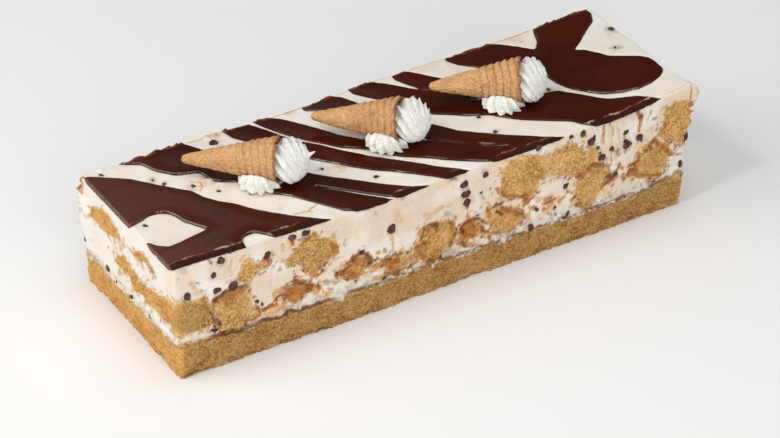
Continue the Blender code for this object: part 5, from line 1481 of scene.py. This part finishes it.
# the mouth's rings: how far in from the rim's radius, how far the rim's waves reach, and the height
mouthRings = [(0.35, 0.9375, 0.125), (1.0, 1.025, -0.05), (1.5, 0.75, -1.0), (1.5, 0.375, -2.5), (1.7, 0.0, -4.5),
              (2.2, 0.0, -7.0)]
cones = [
    {"mouth": (-65.6, -7.6), "turn": 141.0, "tilt": 4.5, "length": 46.0, "rise": 14.5, "dollop": (-73.3, -6.0),
     "flap": 250, "ripple": 0.7, "tails": [((0.76, -0.54, 0.34), 3.4)]},
    {"mouth": (1.2, -7.0), "turn": 133.5, "tilt": 7.5, "length": 45.0, "rise": 14.0, "dollop": (-5.6, -7.2),
     "flap": 100, "ripple": 1.0,
     "tails": [((-0.05, 0.3, 0.95), 1.6), ((0.75, -0.66, -0.1), 1.4), ((0.35, 0.25, 0.9), 1.3)]},
    {"mouth": (67.3, -8.3), "turn": 146.0, "tilt": 6.5, "length": 44.5, "rise": 12.5, "dollop": (59.0, -7.6),
     "flap": 300, "ripple": 1.0, "tails": [((0.2, 0.3, 0.93), 1.2), ((-0.2, -0.8, -0.5), 1.3)]},
]


def standHeight(x, y):   # where something laid over the stripes rests
    return cake["creamTop"] + stripeShape["rise"] + float(topLift(np.array(x), np.array(y)))


def coneFrame(cone):   # the mouth's place, with local Z running out of it, in millimetres
    x, y = cone["mouth"]
    turn, tilt = math.radians(cone["turn"]), math.radians(cone["tilt"])
    out = Vector((-math.cos(turn) * math.cos(tilt), -math.sin(turn) * math.cos(tilt), math.sin(tilt)))
    side = Vector((0, 0, 1)).cross(out).normalized()
    matrix = Matrix((side, out.cross(side), out)).transposed().to_4x4()
    lift = coneShape["clearance"] + coneShape["radius"] * math.cos(tilt)
    matrix.translation = Vector((x, y, standHeight(x, y) + lift))
    return matrix


def coneRadius(height, length):
    share = np.clip(height / length, 0, 1.05)
    belowTip = 1 - np.minimum(1, np.maximum(height, 0) / coneShape["tip"])
    blunt = coneShape["tip"] * np.sqrt(np.maximum(0, 1 - belowTip ** 2))
    return blunt + (coneShape["radius"] - coneShape["tip"]) * share ** 0.94


def rimWaves(angle, count, seed):
    return np.array([noise.noise(Vector((count * math.cos(a), count * math.sin(a), seed))) for a in angle])


def makeCone(index, cone):
    matrix = np.array(coneFrame(cone))
    count, length, recess = coneShape["around"], cone["length"], coneShape["recess"]
    angle = np.arange(count) * 2 * math.pi / count
    way = np.column_stack([np.cos(angle), np.sin(angle)])
    broad, fine = coneShape["rim"]
    rim = broad * rimWaves(angle, 3, index * 5.0) + fine * rimWaves(angle, 9, index * 5.0 + 2)
    rings, rimMarks, grooveShades = [], [], []
    for h in np.concatenate([[0.02, 0.25, 0.6, 1.1], np.linspace(1.7, length, coneShape["along"])]):
        share = h / length
        swing = np.mod(angle - math.radians(cone["flap"]) - (1 - share) * 2.4, 2 * math.pi) / (2 * math.pi)
        roll = coneShape["roll"] * (0.5 - swing) * ease(share * 3.0)
        # each turn of the wafer steps out over the next
        turn = h / coneShape["pitch"] + 0.3 * np.sin(angle + index) + 0.12 * np.sin(2.7 * angle + h / 9)
        turn = np.mod(turn, 1.0)
        ring = coneShape["step"] * (turn - ease((turn - 0.86) / 0.14)) - 0.5
        ring = ring * cone["ripple"] * coneShape["ripple"] * ease((share - 0.3) / 0.4)
        radius = coneRadius(np.full(count, h), length) + roll + ring
        local = np.column_stack([radius[:, None] * way, h - length + rim * ease((share - 0.8) / 0.2)])
        rough = coneShape["rough"] * roughNoise(local, 1.9, 80 + index, 3)
        rough -= coneShape["pores"] * ease((0.42 - poreNoise(local, 2.2, 84 + index)) / 0.3)
        local[:, :2] += (rough * ease(h / 4))[:, None] * way
        rings.append(local)
        rimMarks.append(np.full(count, ease((share - 0.965) / 0.03)))
        # painted shade in the troughs and along the flap's edge
        flap = 0.8 * ease((swing - 0.985) / 0.015) * min(1, share * 3)
        grooveShades.append(np.clip(-ring * 3, 0, 1) * ease((share - 0.3) / 0.3) + flap)
    for back, waved, drop in mouthRings:
        local = np.column_stack([(coneShape["radius"] - back) * way, rim * ease(waved) + drop])
        local[:, :2] *= (1 + 0.012 * roughNoise(local, 1.6, 88, 2))[:, None]
        rings.append(local)
        # painted shade down the inside of the mouth
        rimMarks.append(np.ones(count))
        grooveShades.append(np.zeros(count))
    points = np.concatenate([*rings, [[0, 0, -length], [0, 0, -recess]]])
    faces = [face for row in range(len(rings) - 1) for face in ringFaces(count, row)]
    tip, last = len(rings) * count, (len(rings) - 1) * count
    for k in range(count):
        after = (k + 1) % count
        faces += [[tip, after, k], [tip + 1, last + k, last + after]]
    marks = {"rim": np.concatenate([*rimMarks, [0, 0]]), "grooveShade": np.concatenate([*grooveShades, [0, 0]])}
    return makePiece(f"cone{index + 1}", points @ matrix[:3, :3].T + matrix[:3, 3], faces, wafer, marks)


def pipedTree():
    tree, given = openTree("pipedCream", "Start", {
        "Radius": 11.2, "Stem": 7.4, "Foot": -6.6, "Rise": 14.0, "Belly": 0.34, "Ridges": 8.0,
        "Groove": 0.36, "Twist": -3.0, "Unrest": 0.8, "Start angle": 0.0, "Open foot": 0.0, "Finish": None})
    grid = put(tree, "GeometryNodeMeshGrid", None,
               {"Size X": 1.0, "Size Y": 1.0, "Vertices X": 265, "Vertices Y": 96})
    place = put(tree, "GeometryNodeInputPosition")
    across, up = (put(tree, "ShaderNodeSeparateXYZ", None, {0: place}, output=part) for part in (0, 1))
    angle, way = (across + 0.5) * (2 * math.pi), up + 0.5
    sine, cosine = angle.maths("SINE"), angle.maths("COSINE")
    below = (way / 0.36).maths("MINIMUM", 1.0)
    above = ((way - 0.36) / 0.64).maths("MAXIMUM", 0.0)
    belly = given["Belly"] * given["Rise"]
    bend = above * (math.pi / 2)
    height = given["Foot"] + (belly - given["Foot"]) * below + (given["Rise"] - belly) * bend.maths("SINE")
    radius = given["Stem"] + (given["Radius"] - given["Stem"]) * below.ramp(0.3, 1.0)
    radius = radius * bend.maths("COSINE") * (way * 25.0).maths("MINIMUM", 1.0)
    turned = angle + given["Start angle"] + given["Twist"] * (above + below * 0.5)

    def unrest(stretch, start, scale, detail):   # a noise that closes round the piping
        circle = put(tree, "ShaderNodeCombineXYZ", None, {0: sine, 1: cosine, 2: way * stretch})
        return put(tree, "ShaderNodeTexNoise", {"noise_dimensions": "4D"},
                   {"Vector": circle, "W": start, "Scale": scale, "Detail": detail})

    wobble = unrest(2, given["Start angle"], 1.6, 1.0)
    knobs = unrest(3, given["Start angle"] + 7.0, 4.5, 2.0)
    turned = turned + (wobble - 0.5) * 0.5 * given["Unrest"]
    tooth = (turned * given["Ridges"] / (2 * math.pi)).maths("FRACT")
    crest = (1.0 - (tooth * 2.0 - 1.0).maths("ABSOLUTE")) ** 0.85
    shown = below.ramp(0.05, 0.45).maths("MAXIMUM", given["Open foot"])
    depth = given["Groove"] * shown * (0.8 + wobble * 0.4)
    reach = radius * (1.0 - depth * (1.0 - crest))
    reach = reach + ((wobble - 0.5) + (knobs - 0.5) * 2.2) * given["Unrest"] * shown
    spot = put(tree, "ShaderNodeCombineXYZ", None, {0: reach * cosine, 1: reach * sine, 2: height})
    moved = put(tree, "GeometryNodeSetPosition", None, {"Geometry": grid, "Position": spot})
    # how deep in a groove each point lies, for the painted shade there
    stored = put(tree, "GeometryNodeStoreNamedAttribute", {"data_type": "FLOAT", "domain": "POINT"},
                 {"Geometry": moved, "Name": "foldShade", "Value": (1.0 - crest) * shown})
    merged = put(tree, "GeometryNodeMergeByDistance", None, {"Geometry": stored, "Distance": 0.001})
    smooth = put(tree, "GeometryNodeSetShadeSmooth", None, {"Geometry": merged})
    return closeTree(tree, smooth, given["Finish"])


piping = pipedTree()


def placePiped(name, values, matrix, change):
    piece = runTree(name, bpy.data.meshes.new(name + "Start"), piping, {**values, "Finish": whipped})
    mesh = piece.data
    points = change(readPoints(mesh) @ matrix[:3, :3].T + matrix[:3, 3])
    mesh.vertices.foreach_set("co", placed(points).astype(np.float32).ravel())
    mesh.update()
    bm = bmesh.new()
    bm.from_mesh(mesh)
    bmesh.ops.recalc_face_normals(bm, faces=bm.faces)
    bm.to_mesh(mesh)
    bm.free()
    return piece


dollopShape = {"clearance": 0.7, "shift": (-0.8, 0.6), "ball": 10.6,
               "piping": {"Radius": 10.6, "Stem": 10.6, "Foot": -0.6, "Rise": 8.5, "Belly": 0.3, "Ridges": 12.0,
                          "Groove": 0.3, "Twist": 0.35, "Unrest": 0.55, "Open foot": 1.0}}


def makeTopping(index, cone):
    matrix = np.array(coneFrame(cone))
    finishPiece(makeCone(index, cone), "waffle", f"waffle_cone_{index + 1}")

    def tailed(points):   # the nozzle left a small hook
        way = points - matrix[:3, 3] - matrix[:3, 2] * cone["rise"] * 0.4
        way /= np.maximum(np.linalg.norm(way, axis=1), 0.001)[:, None]
        for direction, reach in cone["tails"]:
            toward = np.array(direction) / np.linalg.norm(direction)
            pull = reach * np.maximum(0, way @ toward) ** 260
            points = points + pull[:, None] * (toward + np.array([0, 0, 0.35]))
        return points

    values = {"Rise": cone["rise"], "Start angle": 0.4 + index * 1.3}
    rosette = placePiped(f"rosette{index + 1}", values, matrix, tailed)
    finishPiece(rosette, "whipped_cream", f"cream_rosette_{index + 1}")

    def pressed(points):   # the dollop gives way to the cone and the rosette that lie on it
        local = (points - matrix[:3, 3]) @ matrix[:3, :3]
        h = local[:, 2] + cone["length"]
        away = np.maximum(np.linalg.norm(local[:, :2], axis=1), 0.001)
        need = coneRadius(h, cone["length"]) + 0.35
        push = np.where((h > 0) & (local[:, 2] < 0.6), np.maximum(0, need - away), 0)
        local[:, :2] *= (1 + push / away)[:, None]
        ball = local - np.array([0, 0, cone["rise"] * 0.26])
        distance = np.maximum(np.linalg.norm(ball, axis=1), 0.001)
        push = np.where(local[:, 2] >= 0.6, np.maximum(0, dollopShape["ball"] - distance), 0)
        local += ball * (push / distance)[:, None]
        return local @ matrix[:3, :3].T + matrix[:3, 3]

    x, y = (place + shift for place, shift in zip(cone["dollop"], dollopShape["shift"]))
    spot = np.array(Matrix.Translation(Vector((x, y, standHeight(x, y) + dollopShape["clearance"]))))
    values = {**dollopShape["piping"], "Start angle": index * 0.9 + 0.2}
    dollop = placePiped(f"dollop{index + 1}", values, spot, pressed)
    finishPiece(dollop, "whipped_cream", f"cream_dollop_{index + 1}")


for index, cone in enumerate(cones):
    makeTopping(index, cone)
print("cones are laid")


# floor, light and camera

studio = {"floorSize": 6.0, "floor": (0.92, 0.92, 0.92), "world": (1.0, 1.0, 1.0), "worldStrength": 0.16}


def makeFloor():
    mesh = bpy.data.meshes.new("floor")
    half = studio["floorSize"] / 2
    mesh.from_pydata([(-half, -half, 0), (half, -half, 0), (half, half, 0), (-half, half, 0)], [], [(0, 1, 2, 3)])
    mesh.materials.append(Finish("floor", Roughness=0.9, Base_Color=(*studio["floor"], 1)).material)
    floor = addObject("floor", mesh)


def aim(thing, azimuth, height):   # turns a light or the camera to look from a direction, and gives that direction
    azimuth, height = math.radians(azimuth), math.radians(height)
    back = Vector((math.sin(azimuth) * math.cos(height), -math.cos(azimuth) * math.cos(height), math.sin(height)))
    thing.rotation_mode = "QUATERNION"
    thing.rotation_quaternion = back.to_track_quat("Z", "Y")
    return back


# azimuth and height of each light in degrees, distance and size in metres, power in watts
lights = [
    {"name": "keyLight", "azimuth": -104, "height": 32, "distance": 1.4, "size": 1.3, "power": 11.2,
     "colour": (1.0, 0.985, 0.96)},
    {"name": "fillLight", "azimuth": -14, "height": 24, "distance": 1.6, "size": 1.2, "power": 12.1,
     "colour": (1.0, 0.985, 0.965)},
    {"name": "backLight", "azimuth": 157, "height": 37.9, "distance": 1.24, "size": 0.18, "power": 0.28,
     "colour": (1.0, 1.0, 1.0)},
    {"name": "glintLight", "azimuth": -74, "height": 56, "distance": 1.3, "size": 0.14, "power": 1.9,
     "colour": (1.0, 1.0, 1.0)},
    {"name": "topLight", "azimuth": 60, "height": 79, "distance": 1.6, "size": 1.3, "power": 9.0,
     "colour": (1.0, 1.0, 1.0)},
]


def makeLights():
    for row in lights:
        light = bpy.data.lights.new(row["name"], "AREA")
        light.energy, light.size, light.color = row["power"], row["size"], row["colour"]
        lamp = addObject(row["name"], light)
        lamp.location = aim(lamp, row["azimuth"], row["height"]) * row["distance"] + Vector((0, 0, 0.04))
    world = bpy.data.worlds.new("studio")
    world.use_nodes = True
    background = world.node_tree.nodes["Background"]
    background.inputs["Color"].default_value = (*studio["world"], 1)
    background.inputs["Strength"].default_value = studio["worldStrength"]
    bpy.context.scene.world = world


photoView = {"azimuth": -31.12, "elevation": 34.393, "distance": 1.59906, "right": -0.000572, "up": 0.010996,
             "lens": 152.3}


def makeCamera():
    data = bpy.data.cameras.new("camera")
    data.lens, data.sensor_width = photoView["lens"], 36.0
    data.clip_start, data.clip_end = 0.05, 20.0
    camera = addObject("camera", data)
    back = aim(camera, photoView["azimuth"], photoView["elevation"])
    azimuth = math.radians(photoView["azimuth"])
    right = Vector((math.cos(azimuth), math.sin(azimuth), 0))
    up = back.cross(right)
    camera.location = back * photoView["distance"] + right * photoView["right"] + up * photoView["up"]
    bpy.context.scene.camera = camera


makeFloor()
makeLights()
makeCamera()
bpy.context.scene.view_settings.view_transform = "Standard"
print("studio is set")
